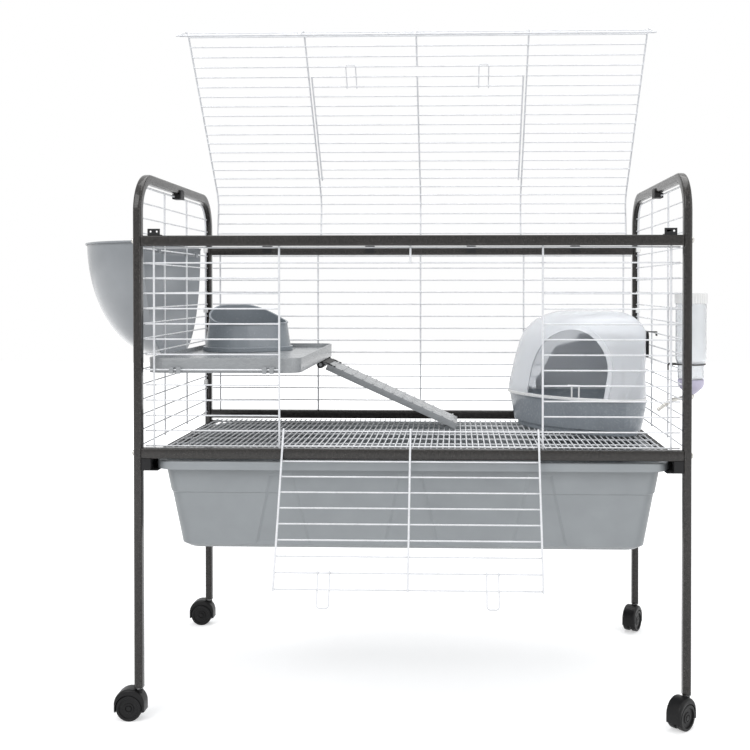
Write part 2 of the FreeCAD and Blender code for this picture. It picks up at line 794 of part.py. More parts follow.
def front_door_lean():
    """Angle off plumb at which the open front door leans on the lower rail's edge."""
    level = rail_half - rail_corner + panel_setback
    drop = row_z(sill_row) - front_rail_top + rail_corner
    apart = hinge_off - rail_corner - stay_r - slip
    return math.degrees(math.acos(apart / math.hypot(level, drop)) - math.atan2(drop, level))


def hung_front(solids):
    """Pieces of the front door, moved from their own frame to the open door."""
    sill = Vector(0, -line_y, row_z(sill_row))
    angle = 180 - front_door_lean()
    return [solid.rotated(Vector(), Vector(1, 0, 0), angle).translated(sill) for solid in solids]


def laid_in_lid(solids):
    """Pieces of the lid door, moved from their own frame into the open lid."""
    line = lid_line(lid_path(), lid_first)
    laid = []
    for solid in solids:
        flat = solid.rotated(Vector(), Vector(1, 0, 0), 90).rotated(Vector(), Vector(0, 1, 0), 180)
        laid.append(flat.translated(line))
    return opened(laid)


def tray_outline(depth, inset):
    """Outline of the tray's wall at a depth below the rim."""
    draw = tray_neck + tray_taper * depth / tray_depth + inset
    z = runner_top - tray_drop - depth
    return rounded_wire(tray_half_x - draw, tray_half_y - draw, tray_corner - tray_neck, z)


def tray():
    """Deep pan with a step in its wall and a rim that turns down over the runners."""
    rim = runner_top - tray_drop
    lip_foot = runner_foot + runner_sheet + slip
    flange = rounded_box(tray_half_x, tray_half_y, tray_corner, lip_foot, rim)
    under = rounded_box(tray_half_x - tray_lip, tray_half_y - tray_lip, tray_corner - tray_lip,
                        lip_foot, rim - tray_flange)
    bottom = tray_depth - tray_heel
    upper = Part.makeLoft([tray_outline(0, 0), tray_outline(tray_step_depth, 0)], True, True)
    lower = [tray_outline(tray_step_depth, tray_step), tray_outline(bottom, tray_step)]
    lower.append(tray_outline(tray_depth, tray_step + tray_heel))
    inside = [tray_outline(0, tray_step + tray_wall), tray_outline(bottom, tray_step + tray_wall)]
    inside.append(tray_outline(tray_depth - tray_wall, tray_step + tray_wall + tray_heel))
    shell = fuse([flange.cut(under), upper, Part.makeLoft(lower, True, True)])
    return shell.cut(Part.makeLoft(inside, True, True))


shelf_left = -leg_x + shelf_side_gap
shelf_right = shelf_left + shelf_length
shelf_half_y = leg_in_y - shelf_end_gap
shelf_foot = row_z(shelf_row) - shelf_drop
shelf_top = shelf_foot + shelf_height
shelf_deck = shelf_top - shelf_rim
pin = Vector(shelf_right - pin_inset, ramp_y, shelf_foot - pin_drop)
pin_half = ramp_width / 2 + slip + lug_thick


def shelf_hook(x, end):
    """Prong over a panel's line, with its root in the shelf's wall."""
    root = shelf_half_y - shelf_wall
    out = line_y + line_r + seat_gap
    under = row_z(shelf_row) + line_r + seat_gap
    top = under + shelf_hook_thick
    foot = under - shelf_hook_drop
    outline = [(root, under), (out, under), (out, foot), (out + shelf_hook_thick, foot)]
    outline += [(out + shelf_hook_thick, top), (root, top)]
    points = [Vector(x - shelf_hook_width / 2, end * y, z) for y, z in outline]
    return prism(points, Vector(shelf_hook_width, 0, 0))


def ramp_lug(end):
    """Eye under the shelf for the ramp's pin."""
    inner = pin + Vector(0, end * (ramp_width / 2 + slip), 0)
    out = Vector(0, end * lug_thick, 0)
    ys = sorted([inner.y, inner.y + out.y])
    web = box(pin.x - barrel_radius, shelf_right, ys[0], ys[1], pin.z, shelf_foot + shelf_wall)
    return fuse([web, rod(inner, inner + out, barrel_radius)])


def shelf():
    """Deck with a rim, ribs under it, prongs on both panels and two eyes for the ramp."""
    centre = (shelf_left + shelf_right) / 2
    half_x = shelf_length / 2
    block = rounded_box(half_x, shelf_half_y, shelf_corner, shelf_foot, shelf_top, centre)
    well = rounded_box(half_x - shelf_wall, shelf_half_y - shelf_wall, shelf_corner - shelf_wall,
                       shelf_deck, shelf_top, centre)
    cell_x = (shelf_length - shelf_wall) / shelf_columns
    cell_y = (2 * shelf_half_y - shelf_wall) / shelf_lines
    cells = []
    for column in range(shelf_columns):
        for line in range(shelf_lines):
            x = shelf_left + shelf_wall + column * cell_x
            y = -shelf_half_y + shelf_wall + line * cell_y
            cells.append(box(x, x + cell_x - shelf_wall, y, y + cell_y - shelf_wall,
                             shelf_foot, shelf_deck - shelf_floor))
    hollow = rounded_box(half_x - shelf_wall, shelf_half_y - shelf_wall, shelf_corner - shelf_wall,
                         shelf_foot, shelf_deck - shelf_floor, centre)
    deck = block.cut(well).cut(Part.makeCompound(cells).common(hollow))
    hooks = []
    for middle in (shelf_left + shelf_hook_inset, shelf_right - shelf_hook_inset):
        for offset in (-shelf_hook_pair / 2, shelf_hook_pair / 2):
            hooks += [shelf_hook(middle + offset, end) for end in (-1, 1)]
    body = fuse([deck] + hooks + [ramp_lug(-1), ramp_lug(1)])
    reach = Vector(0, pin_half, 0)
    return body.cut(rod(pin - reach, pin + reach, pin_radius + running))


def ramp():
    """Ribbed board with sides under it, on the pin that turns in the shelf's eyes."""
    half = ramp_width / 2
    top = ramp_side - ramp_sole
    solids = [rod(Vector(0, -half, 0), Vector(0, half, 0), barrel_radius)]
    solids.append(rod(Vector(0, -pin_half, 0), Vector(0, pin_half, 0), pin_radius))
    solids.append(box(0, ramp_length, -half, half, top - ramp_wall, top))
    for inner in (-half, half - ramp_wall):
        solids.append(box(ramp_start, ramp_length, inner, inner + ramp_wall, -ramp_sole, top))
    step = (ramp_length - ramp_start) / ramp_rungs
    for index in range(ramp_rungs):
        x = ramp_start + (index + 0.5) * step
        solids.append(box(x - rung_thick / 2, x + rung_thick / 2, -half, half,
                          top - ramp_wall, top + rung_height))
    drop = pin.z - grid_top - slip
    slope = math.asin(drop / math.hypot(ramp_length, ramp_sole)) - math.atan2(ramp_sole, ramp_length)
    return fuse(solids).rotated(Vector(), Vector(0, 1, 0), math.degrees(slope)).translated(pin)


def bowl_ring(inset, z):
    """Level outline of the bowl, its sides set in."""
    return rounded_wire(bowl_half_x - inset, bowl_half_y - inset, bowl_corner - inset, z)


def food_bowl():
    """Bowl on a wide foot, with a flange and a rim that slants down to the front."""
    foot = shelf_deck + slip
    back = foot + bowl_back
    outer = Part.makeLoft([bowl_ring(0, foot), bowl_ring(bowl_draw, back)], True, True)
    inner = Part.makeLoft([bowl_ring(bowl_wall, foot + bowl_wall),
                           bowl_ring(bowl_wall + bowl_draw, back)], True, True)
    flange = Part.Face(bowl_ring(-bowl_flange, foot)).extrude(Vector(0, 0, bowl_flange_height))
    bowl = fuse([outer, flange]).cut(inner)
    left = -2 * bowl_half_x
    slant = [Vector(left, -bowl_half_y, foot + bowl_front), Vector(left, bowl_half_y, back)]
    slant += [Vector(left, bowl_half_y, 2 * back), Vector(left, -2 * bowl_half_y, 2 * back)]
    slant.append(Vector(left, -2 * bowl_half_y, foot + bowl_front))
    bowl = bowl.cut(prism(slant, Vector(4 * bowl_half_x, 0, 0)))
    bowl.rotate(Vector(), Vector(0, 0, 1), bowl_turn)
    return bowl.translated(Vector(bowl_x, bowl_y, 0))


house = Vector(leg_in_x - house_gap_x, leg_in_y - house_gap_y, grid_top + seat_gap)
pan_foot = house.z + house_foot
pan_top = pan_foot + house_pan
hood_corner = Vector(house.x - house_wall - slip, house.y - house_wall - slip, pan_top + slip)


def quarter_wire(radius, inset, bend, z):
    """Two straight sides from the corner, a curved front and a round end between each pair."""
    near = inset + bend
    far = math.sqrt((radius - bend) ** 2 - near ** 2)
    touch = radius / (radius - bend)
    turn = math.atan2(far, near) / 2
    side = [Vector(-inset, -inset, z), Vector(-inset, -far, z)]
    middle = Vector(-near + bend * math.sin(turn), -far - bend * math.cos(turn), z)
    end = Vector(-near * touch, -far * touch, z)
    front = Vector(-radius, -radius, z) * math.sqrt(0.5)
    front.z = z
    edges = Part.makePolygon(side).Edges
    edges.append(Part.Arc(side[1], middle, end).toShape())
    swapped = [Vector(point.y, point.x, z) for point in (end, middle, side[1], side[0])]
    edges.append(Part.Arc(end, front, swapped[0]).toShape())
    edges.append(Part.Arc(*swapped[:3]).toShape())
    edges += Part.makePolygon(swapped[2:]).Edges
    return Part.Wire(edges)


def house_wire(inset, z):
    """Outline of the house, set in all round."""
    wire = quarter_wire(house_radius - inset, inset, house_round - inset, z)
    return wire.translated(Vector(house.x, house.y, 0))


def back_plate():
    """High plate along the right side of the house, stepping down to its front."""
    root = Vector(house.x, house.y, pan_top - house_back_root)
    corner = Vector(house.x, house.y, pan_top + house_back_line[-1][1])
    outline = [Vector(house.x, house.y - out, pan_top + rise) for out, rise in house_back_line]
    front = Vector(house.x, outline[0].y, root.z)
    edges = bent_path([front] + outline + [corner], house_back_bends)
    edges += Part.makePolygon([corner, root, front]).Edges
    return Part.Face(Part.Wire(edges)).extrude(Vector(-house_wall, 0, 0))


def house_base():
    """Drafted pan on a recessed foot, with two high back plates."""
    inset = house_draft + house_foot_inset
    rise = Vector(0, 0, house_foot)
    foot = Part.Face(house_wire(inset, house.z)).extrude(rise)
    foot = foot.cut(Part.Face(house_wire(inset + house_wall, house.z)).extrude(rise))
    pan = Part.makeLoft([house_wire(house_draft, pan_foot), house_wire(0, pan_top)], True, True)
    well = [house_wire(house_draft + house_wall, pan_foot + house_wall), house_wire(house_wall, pan_top)]
    pan = pan.cut(Part.makeLoft(well, True, True))
    right = back_plate()
    swap = right.translated(Vector(-house.x, -house.y, 0)).mirror(Vector(), Vector(1, -1, 0))
    rear = swap.translated(Vector(house.x, house.y, 0))
    return fuse([foot, pan, right, rear])


def hood_quarter(inset, grow, reach, top):
    """Space between the straight sides of the hood, with round ends and round upper edges."""
    foot = hood_corner.z
    outline = [Vector(-reach, 0, top), Vector(-inset, 0, top), Vector(-inset, 0, foot)]
    edges = bent_path(outline, [hood_side_round + grow])
    edges += Part.makePolygon([outline[2], Vector(-reach, 0, foot), outline[0]]).Edges
    slab = Part.Face(Part.Wire(edges)).extrude(Vector(0, -reach, 0))
    ends = Part.Face(quarter_wire(hood_radius + grow, inset, house_round + grow, foot))
    column = ends.extrude(Vector(0, 0, top - foot))
    return slab.common(slab.mirror(Vector(), Vector(1, -1, 0))).common(column)


def dome(grow):
    """Rounded hood on the pan, grown or shrunk all round by one amount."""
    top = hood_corner.z + hood_top + grow
    outline = [Vector(0, 0, top), Vector(hood_top_radius + grow, 0, top)]
    outline += [Vector(hood_radius + grow, 0, hood_corner.z), Vector(0, 0, hood_corner.z)]
    edges = bent_path(outline[:3], [hood_top_bend + grow])
    edges += Part.makePolygon(outline[2:] + outline[:1]).Edges
    whole = Part.Face(Part.Wire(edges)).revolve(Vector(), Vector(0, 0, 1), 360)
    reach = hood_radius + abs(grow) + slip
    corner = hood_quarter(max(-grow, 0), grow, reach, top)
    return whole.common(corner).translated(Vector(hood_corner.x, hood_corner.y, 0))


def arch(grow):
    """Doorway with a round top, drawn out from the house corner."""
    half = arch_half + grow
    spring = pan_top + arch_spring
    sill = pan_top + arch_sill - grow
    near = hood_radius / 2
    outline = [(-half, spring), (0, spring + half), (half, spring), (half, sill), (-half, sill)]
    points = [Vector(near, y, z) for y, z in outline]
    edges = [Part.Arc(*points[:3]).toShape()] + Part.makePolygon(points[2:] + points[:1]).Edges
    way = Part.Face(Part.Wire(edges)).extrude(Vector(hood_radius, 0, 0))
    way.rotate(Vector(), Vector(0, 0, 1), arch_turn)
    return way.translated(Vector(house.x, house.y, 0))


def house_hood():
    """Thin dome with a doorway and a raised frame round it."""
    inside = dome(-hood_wall)
    shell = dome(0).cut(inside)
    frame = dome(arch_proud).cut(inside).common(arch(arch_frame))
    return fuse([shell, frame]).cut(arch(0))


def house_clip():
    """Small tab that stands on the doorway's sill."""
    sill = pan_top + arch_sill + seat_gap
    tab = rounded_box(clip_rise / 2, clip_half, clip_corner, 0, clip_thick)
    tab = tab.rotated(Vector(), Vector(0, 1, 0), 90)
    out = hood_radius - hood_wall - clip_thick / 2
    tab.translate(Vector(out, 0, sill + clip_rise / 2))
    tab.rotate(Vector(), Vector(0, 0, 1), clip_angle)
    return tab.translated(Vector(hood_corner.x, hood_corner.y, 0))


def house_strap():
    """Oval plate beside the hood, with a hook over a line of the side panel."""
    near = house.x + seat_gap
    under = row_z(strap_row) + line_r + seat_gap
    top = under + strap_hook_thick
    past = leg_x + line_r + seat_gap
    tip = under - strap_hook
    plate = rounded_box(strap_length / 2, strap_half, strap_corner, 0, strap_thick)
    plate = plate.rotated(Vector(), Vector(0, 1, 0), 90)
    plate.translate(Vector(near, strap_y, top - strap_length / 2))
    outline = [(near, tip), (near + strap_hook_thick, tip), (near + strap_hook_thick, under), (past, under)]
    outline += [(past, tip), (past + strap_hook_thick, tip), (past + strap_hook_thick, top), (near, top)]
    points = [Vector(x, strap_y - strap_hook_half, z) for x, z in outline]
    return fuse([plate, prism(points, Vector(0, 2 * strap_hook_half, 0))])


rack_face = leg_x + layer + stay_r + slip
rack_rim = row_z(rack_row) + rack_rise


def rack_bowl(shrink):
    """Solid of revolution behind the rack's curved wall, cut off at the panel."""
    axis_in = (rack_half_y ** 2 - rack_out ** 2) / (2 * rack_out)
    rim = axis_in + rack_out - shrink
    base = rack_rim - rack_depth + shrink
    middle = Vector(rim - rack_curve + shrink, 0, rack_rim)
    ends = [Vector(middle.x, 0, base), Vector(rim, 0, rack_rim)]
    curve = Part.Ellipse(ends[0], ends[1], middle)
    edges = [curve.toShape(0, math.pi / 2)]
    edges += Part.makePolygon([ends[1], Vector(0, 0, rack_rim), Vector(0, 0, base), ends[0]]).Edges
    outline = Part.Wire(Part.__sortEdges__(edges))
    whole = Part.Face(outline).revolve(Vector(), Vector(0, 0, 1), 360)
    return whole.translated(Vector(axis_in - rack_face, 0, 0)), rim, axis_in


def hay_rack():
    """Half bowl, open above and towards the panel, with a lip, a strip and two hooks."""
    outer, rim, axis_in = rack_bowl(0)
    inner = rack_bowl(rack_wall)[0]
    centre = Vector(axis_in - rack_face, 0, rack_rim - rack_lip_height)
    top = centre + Vector(0, 0, rack_lip_height)
    lip = rod(centre, top, rim + rack_lip)
    outside = box(-rack_face - 2 * rim, -rack_face, -2 * rim, 2 * rim, rack_rim - 2 * rack_depth, rack_rim)
    shell = fuse([outer, lip]).cut(inner).common(outside)
    strip = box(-rack_face - rack_wall, -rack_face, -rack_half_y, rack_half_y, rack_rim - rack_bar, rack_rim)
    strip = strip.common(outer)
    under = row_z(rack_row) + line_r + slip
    foot = under - rack_hook_drop
    top = under + rack_hook_thick
    root = rack_face + rack_wall
    past = leg_x - line_r - slip
    tip = past - rack_hook_thick
    outline = [(root, under), (past, under), (past, foot), (tip, foot), (tip, top), (root, top)]
    hooks = []
    for y in (-rack_hook_y, rack_hook_y):
        points = [Vector(-x, y - rack_hook_half, z) for x, z in outline]
        hooks.append(prism(points, Vector(0, 2 * rack_hook_half, 0)))
    return fuse([shell, strip] + hooks)


holder_z = row_z(bottle_row) + 2 * line_r + seat_gap
shoulder_z = holder_z + line_r + slip
bottle_x = leg_x + layer + stay_r + bottle_gap + bottle_radius
neck_foot = shoulder_z - bottle_neck
bottle_top = shoulder_z + bottle_shoulder + bottle_body
ball = Vector(bottle_x, bottle_y, neck_foot - nozzle_height - ball_drop)


def bottle():
    """Thin bottle, narrow below its shoulder, open above under the screw lid."""
    wide_z = shoulder_z + bottle_shoulder
    floor_z = neck_foot + bottle_wall
    inner = bottle_radius - bottle_wall
    neck_in = bottle_neck_radius - bottle_wall
    outline = [(spout_bore, neck_foot), (bottle_neck_radius, neck_foot), (bottle_neck_radius, shoulder_z)]
    outline += [(bottle_radius, wide_z), (bottle_radius, bottle_top), (inner, bottle_top), (inner, wide_z)]
    outline += [(neck_in, shoulder_z), (neck_in, floor_z), (spout_bore, floor_z)]
    return turned(outline, bottle_x, bottle_y)


def bottle_lid():
    """Screw lid over the bottle's rim."""
    bore = bottle_radius + seat_gap
    foot = Vector(bottle_x, bottle_y, bottle_top - cap_skirt)
    cap = rod(foot, foot + Vector(0, 0, cap_height), bore + cap_wall)
    rim = [edge for edge in cap.Edges if edge.Closed and edge.CenterOfMass.z > bottle_top]
    cap = cap.makeFillet(cap_round, rim)
    well = Vector(bottle_x, bottle_y, bottle_top + seat_gap)
    cap = cap.cut(rod(foot, well, bore))
    inside = foot + Vector(0, 0, cap_height - cap_wall)
    return cap.cut(rod(well, inside, bottle_radius - cap_round))


def nozzle_cap():
    """Dome under the bottle, with a bore and a round seat for the spout's ball."""
    top = neck_foot - seat_gap
    foot = neck_foot - nozzle_height
    outline = [Vector(spout_bore, 0, top), Vector(bottle_neck_radius, 0, top)]
    outline += [Vector(nozzle_end_radius, 0, foot), Vector(spout_bore, 0, foot)]
    bulge = Vector(nozzle_round, 0, (top + foot) / 2)
    edges = Part.makePolygon(outline[:2]).Edges
    edges.append(Part.Arc(outline[1], bulge, outline[2]).toShape())
    edges += Part.makePolygon([outline[2], outline[3], outline[0]]).Edges
    cap = Part.Face(Part.Wire(edges)).revolve(Vector(), Vector(0, 0, 1), 360)
    cap.translate(Vector(bottle_x, bottle_y, 0))
    return cap.cut(Part.makeSphere(ball_radius + seat_gap, ball))


def spout_points():
    """Centre line of the spout: the ball, the bend and the tip."""
    bend = ball - Vector(spout_run, 0, spout_fall)
    return [ball, bend, bend - Vector(spout_tip_run, 0, spout_tip_fall)]


def spout():
    """Bent tube with a ball at its upper end."""
    path = bent_path(spout_points(), [spout_bend])
    body = fuse([wire_on(path, spout_radius), Part.makeSphere(ball_radius, ball)])
    return body.cut(wire_on(path, spout_bore))


def spout_ball():
    """Loose ball in the spout's tip."""
    bend, tip = spout_points()[1:]
    inward = (bend - tip).normalize()
    return Part.makeSphere(drip_radius, tip + inward)


def bottle_holder():
    """Wire ring under the bottle's shoulder, with two arms hooked over a panel line."""
    ring = bottle_neck_radius + slip + line_r
    centre = Vector(bottle_x, bottle_y, holder_z)
    solids = [Part.makeTorus(ring, line_r, centre, Vector(0, 0, 1))]
    bend = 2 * line_r + seat_gap
    start = bottle_x - math.sqrt(ring ** 2 - holder_half ** 2)
    for y in (bottle_y - holder_half, bottle_y + holder_half):
        points = [Vector(start, y, holder_z), Vector(leg_x - bend, y, holder_z)]
        points.append(Vector(leg_x - bend, y, holder_z - bend - holder_tail))
        solids.append(wire_on(bent_path(points, [bend]), line_r))
    return fuse(solids)


def build():
    """Make every node and write its file."""
    os.makedirs("parts", exist_ok=True)
    sides = {"left": -1, "right": 1}
    for name, side in sides.items():
        save("end_frame_" + name, [end_frame(side)])
        save("tray_runner_" + name, [tray_runner(side)])
        save("side_panel_" + name, side_panel(side))
    save("front_upper_rail", [rail(-leg_y, upper_rail_z)])
    save("rear_upper_rail", [rail(leg_y, upper_rail_z)])
    save("front_lower_rail", [rail(-leg_y, front_lower_rail_z)])
    save("rear_lower_rail", [rail(leg_y, rear_lower_rail_z)])
    seats = [(side, y, z) for side in sides.values() for y, z in bolt_seats()]
    save("rail_plugs", [rail_plug(*seat) for seat in seats])
    save("rail_bolts", [rail_bolt(*seat) for seat in seats])

    corners = {}
    for end, end_sign in {"front": -1, "rear": 1}.items():
        for name, side in sides.items():
            corners[end + "_" + name] = Vector(side * leg_x, end_sign * leg_y, 0)
    save("caster_sockets", [caster_socket(corner.x, corner.y) for corner in corners.values()])
    save("caster_washers", [caster_washer(corner.x, corner.y) for corner in corners.values()])
    caster = {"fork": caster_fork(), "axle": caster_axle()}
    caster.update({"wheel_a": caster_wheel(-1), "wheel_b": caster_wheel(1)})
    for name, corner in corners.items():
        for piece, shape in caster.items():
            placed = shape.rotated(Vector(), Vector(0, 0, 1), headings[name]).translated(corner)
            save("caster_" + name + "_" + piece, [placed])

    save("front_panel", front_panel())
    save("rear_panel", rear_panel())
    clips = [leg_clip(side, end, row) for side in (-1, 1) for end in (-1, 1) for row in clip_rows]
    save("panel_clips", clips + [bar_clip(-1), bar_clip(1)])
    save("floor_grid", floor_grid())
    save("lid_tabs", [lid_tab(-1), lid_tab(1)])
    save("lid_hinge_saddles", [hinge_saddle(x) for x in saddle_x])
    save("lid_panel", opened(lid_panel()))

    lid_rows = lid_door_rows - 1
    save("lid_door", laid_in_lid(wire_door(lid_stay_x - door_side_gap, lid_pitch, lid_rows)))
    front_rows = head_row - sill_row - 1
    save("front_door", hung_front(wire_door(opening_half - door_side_gap, row_pitch, front_rows)))
    for name, side in sides.items():
        latch = door_latch(side * front_latch_x, row_pitch, front_rows)
        save("front_door_latch_" + name, hung_front([latch]))
        latch = door_latch(-side * lid_latch_x, lid_pitch, lid_rows)
        save("lid_door_latch_" + name, laid_in_lid([latch]))

    save("tray", [tray()])
    save("shelf", [shelf()])
    save("ramp", [ramp()])
    save("food_bowl", [food_bowl()])
    save("house_base", [house_base()])
    save("house_hood", [house_hood()])
    save("house_clip", [house_clip()])
    save("house_strap", [house_strap()])
    save("hay_rack", [hay_rack()])
    save("bottle", [bottle()])
    save("bottle_lid", [bottle_lid()])
    save("nozzle_cap", [nozzle_cap()])
    save("spout", [spout()])
    save("spout_ball", [spout_ball()])
    save("bottle_holder", [bottle_holder()])


build()
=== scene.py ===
"""Rabbit cage on a wheeled stand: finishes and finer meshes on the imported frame.

Sizes are in millimetres and angles in degrees, apart from the studio, which is in metres.
"""
import json
import logging
import math
from dataclasses import dataclass
from enum import Enum

import bmesh
import bpy
from bmesh.types import BMEdge, BMFace, BMVert
from bpy.types import Material, Node, NodeSocket, NodeTree, Object
from mathutils import Matrix, Vector


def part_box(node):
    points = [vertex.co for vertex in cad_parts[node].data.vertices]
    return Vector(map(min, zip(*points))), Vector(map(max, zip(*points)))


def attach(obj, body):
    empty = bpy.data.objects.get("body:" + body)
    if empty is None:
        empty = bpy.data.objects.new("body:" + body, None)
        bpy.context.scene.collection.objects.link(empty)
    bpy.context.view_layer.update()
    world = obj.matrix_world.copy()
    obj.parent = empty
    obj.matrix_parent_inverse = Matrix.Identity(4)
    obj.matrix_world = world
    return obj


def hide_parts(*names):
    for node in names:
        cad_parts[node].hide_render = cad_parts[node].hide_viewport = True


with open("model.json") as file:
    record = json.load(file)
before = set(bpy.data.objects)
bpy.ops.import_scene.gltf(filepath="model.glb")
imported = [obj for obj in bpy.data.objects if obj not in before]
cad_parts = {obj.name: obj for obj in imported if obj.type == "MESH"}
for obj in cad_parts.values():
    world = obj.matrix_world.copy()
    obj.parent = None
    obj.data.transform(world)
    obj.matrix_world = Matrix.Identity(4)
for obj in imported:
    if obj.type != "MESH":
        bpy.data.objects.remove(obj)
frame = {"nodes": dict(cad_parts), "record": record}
log = logging.getLogger("rabbit_cage")

Colour = tuple[float, float, float]
Span = tuple[float, float]
Point = tuple[float, float, float] | Vector

MM = 0.001                  # metres in a millimetre
WELD = 0.02                 # vertices closer than this are one
CAD_WELD = 0.004            # the same for the loose triangles of a CAD node
CAD_FLAT = 0.6              # CAD triangles at less than this angle are one face
CAD_SHARP = 30.0            # edges of a CAD node past this angle are rounded
CAD_SLIVER = 0.12           # edges of a CAD node shorter than this are dropped
MIDDLE: Span = (0.3, 0.7)   # part of a soft pattern that holds most of its changes
UP: Point = (0, 0, 1)


def add_node(tree: NodeTree, kind: str, **values: float | tuple[float, ...]) -> Node:
    """Add a shader node and set constants on its sockets.

    Args:
        tree: node tree to add to.
        kind: kind of the node.
        values: constant of each socket, with _ for a space in the socket's name.

    Returns:
        The node.
    """
    node = tree.nodes.new("ShaderNode" + kind)
    for socket, value in values.items():
        node.inputs[socket.replace("_", " ")].default_value = value
    return node


class Graph:
    """Node graph of one material, read from Object coordinates."""

    def __init__(self, name: str) -> None:
        """Start a material with its shader.

        Args:
            name: name of the material.
        """
        self.material = bpy.data.materials.new(name)
        self.material.use_nodes = True
        self.tree = self.material.node_tree
        self.shader = self.tree.nodes["Principled BSDF"]
        self.place = add_node(self.tree, "TexCoord").outputs["Object"]

    def link(self, source: NodeSocket, target: NodeSocket) -> None:
        """Join two sockets."""
        self.tree.links.new(source, target)

    def feed(self, socket: str, source: NodeSocket) -> None:
        """Lead a pattern into one of the shader's sockets."""
        self.link(source, self.shader.inputs[socket])

    def set(self, socket: str, value: float) -> None:
        """Set a constant on the shader's own socket."""
        self.shader.inputs[socket].default_value = value

    def noise(self, scale: float, detail: float = 3.0, pull: Point | None = None) -> NodeSocket:
        """Soft random pattern.

        Args:
            scale: spots per metre.
            detail: octaves of finer pattern.
            pull: factors that stretch the pattern, if any.

        Returns:
            A factor from 0 to 1.
        """
        node = add_node(self.tree, "TexNoise", Scale=scale, Detail=detail)
        place = self.place
        if pull:
            mapping = add_node(self.tree, "Mapping", Scale=pull)
            self.link(place, mapping.inputs["Vector"])
            place = mapping.outputs["Vector"]
        self.link(place, node.inputs["Vector"])
        return node.outputs["Fac"]

    def cells(self, scale: float) -> NodeSocket:
        """Rounded cells, as in a hammered coat.

        Args:
            scale: cells per metre.

        Returns:
            The distance from the nearest cell's middle.
        """
        node = add_node(self.tree, "TexVoronoi", Scale=scale)
        node.feature = "SMOOTH_F1"
        self.link(self.place, node.inputs["Vector"])
        return node.outputs["Distance"]

    def spread(self, factor: NodeSocket, to: Span, span: Span = MIDDLE) -> NodeSocket:
        """Map a factor onto a range.

        Args:
            factor: pattern to map.
            to: range to map it onto.
            span: part of the pattern that fills the range.

        Returns:
            The mapped value.
        """
        node = add_node(self.tree, "MapRange", From_Min=span[0], From_Max=span[1],
                        To_Min=to[0], To_Max=to[1])
        self.link(factor, node.inputs["Value"])
        return node.outputs["Result"]

    def tint(self, factor: NodeSocket, low: Colour, high: Colour,
             span: Span = MIDDLE) -> NodeSocket:
        """Colour that follows a factor.

        Args:
            factor: pattern to follow.
            low: colour at the span's start.
            high: colour at the span's end.
            span: part of the pattern between the two colours.

        Returns:
            The colour.
        """
        node = add_node(self.tree, "ValToRGB")
        for stop, at, colour in zip(node.color_ramp.elements, span, (low, high)):
            stop.position = at
            stop.color = (*colour, 1.0)
        self.link(factor, node.inputs["Fac"])
        return node.outputs["Color"]

    def fleck(self, base: NodeSocket, factor: NodeSocket, colour: Colour) -> NodeSocket:
        """Lay one colour over another where a factor is high.

        Args:
            base: colour underneath.
            factor: share of the colour on top.
            colour: colour on top.

        Returns:
            The mixed colour.
        """
        node = add_node(self.tree, "Mix")
        node.data_type = "RGBA"
        share, under, over = (node.inputs[index] for index in (0, 6, 7))
        self.link(factor, share)
        self.link(base, under)
        over.default_value = (*colour, 1.0)
        return node.outputs[2]

    def bump(self, height: NodeSocket, depth: float, strength: float,
             under: NodeSocket | None = None) -> NodeSocket:
        """Relief from a pattern.

        Args:
            height: pattern of the relief.
            depth: height of the relief in millimetres.
            strength: share of the relief that shows.
            under: relief that this one lies on, if any.

        Returns:
            The bent normal.
        """
        node = add_node(self.tree, "Bump", Distance=depth * MM, Strength=strength)
        self.link(height, node.inputs["Height"])
        if under is not None:
            self.link(under, node.inputs["Normal"])
        return node.outputs["Normal"]


@dataclass(frozen=True)
class HammeredCoat:
    """Dark powder coat with a hammered relief and a pale metal fleck."""

    name: str
    low: Colour = (0.0058, 0.0048, 0.0040)
    high: Colour = (0.019, 0.0160, 0.0140)
    fleck: Colour = (0.26, 0.25, 0.24)
    fleck_share: float = 0.75           # most of the fleck that shows
    cells: float = 330.0                # dimples per metre
    clouds: float = 190.0               # changes of the colour per metre
    sparks: float = 900.0               # flecks per metre
    grain: float = 1400.0               # grains per metre
    rough: Span = (0.28, 0.50)
    gloss: float = 0.15
    coat: float = 0.60
    coat_rough: float = 0.13

    def make(self) -> Material:
        """Build the material.

        Returns:
            The material.
        """
        graph = Graph(self.name)
        dimple = graph.cells(self.cells)
        cloud = graph.noise(self.clouds, detail=4.0)
        base = graph.tint(cloud, self.low, self.high, span=(0.35, 0.68))
        spark = graph.noise(self.sparks, detail=2.0)
        share = graph.spread(spark, to=(0.0, self.fleck_share), span=(0.60, 0.74))
        graph.feed("Base Color", graph.fleck(base, share, self.fleck))
        graph.feed("Roughness", graph.spread(dimple, self.rough, span=(0.1, 0.7)))
        graph.set("Specular IOR Level", self.gloss)
        graph.set("Coat Weight", self.coat)
        graph.set("Coat Roughness", self.coat_rough)
        grain = graph.bump(graph.noise(self.grain, detail=2.0), depth=0.05, strength=0.4)
        graph.feed("Normal", graph.bump(dimple, depth=0.25, strength=0.55, under=grain))
        graph.feed("Coat Normal", graph.bump(dimple, depth=0.10, strength=0.25))
        return graph.material


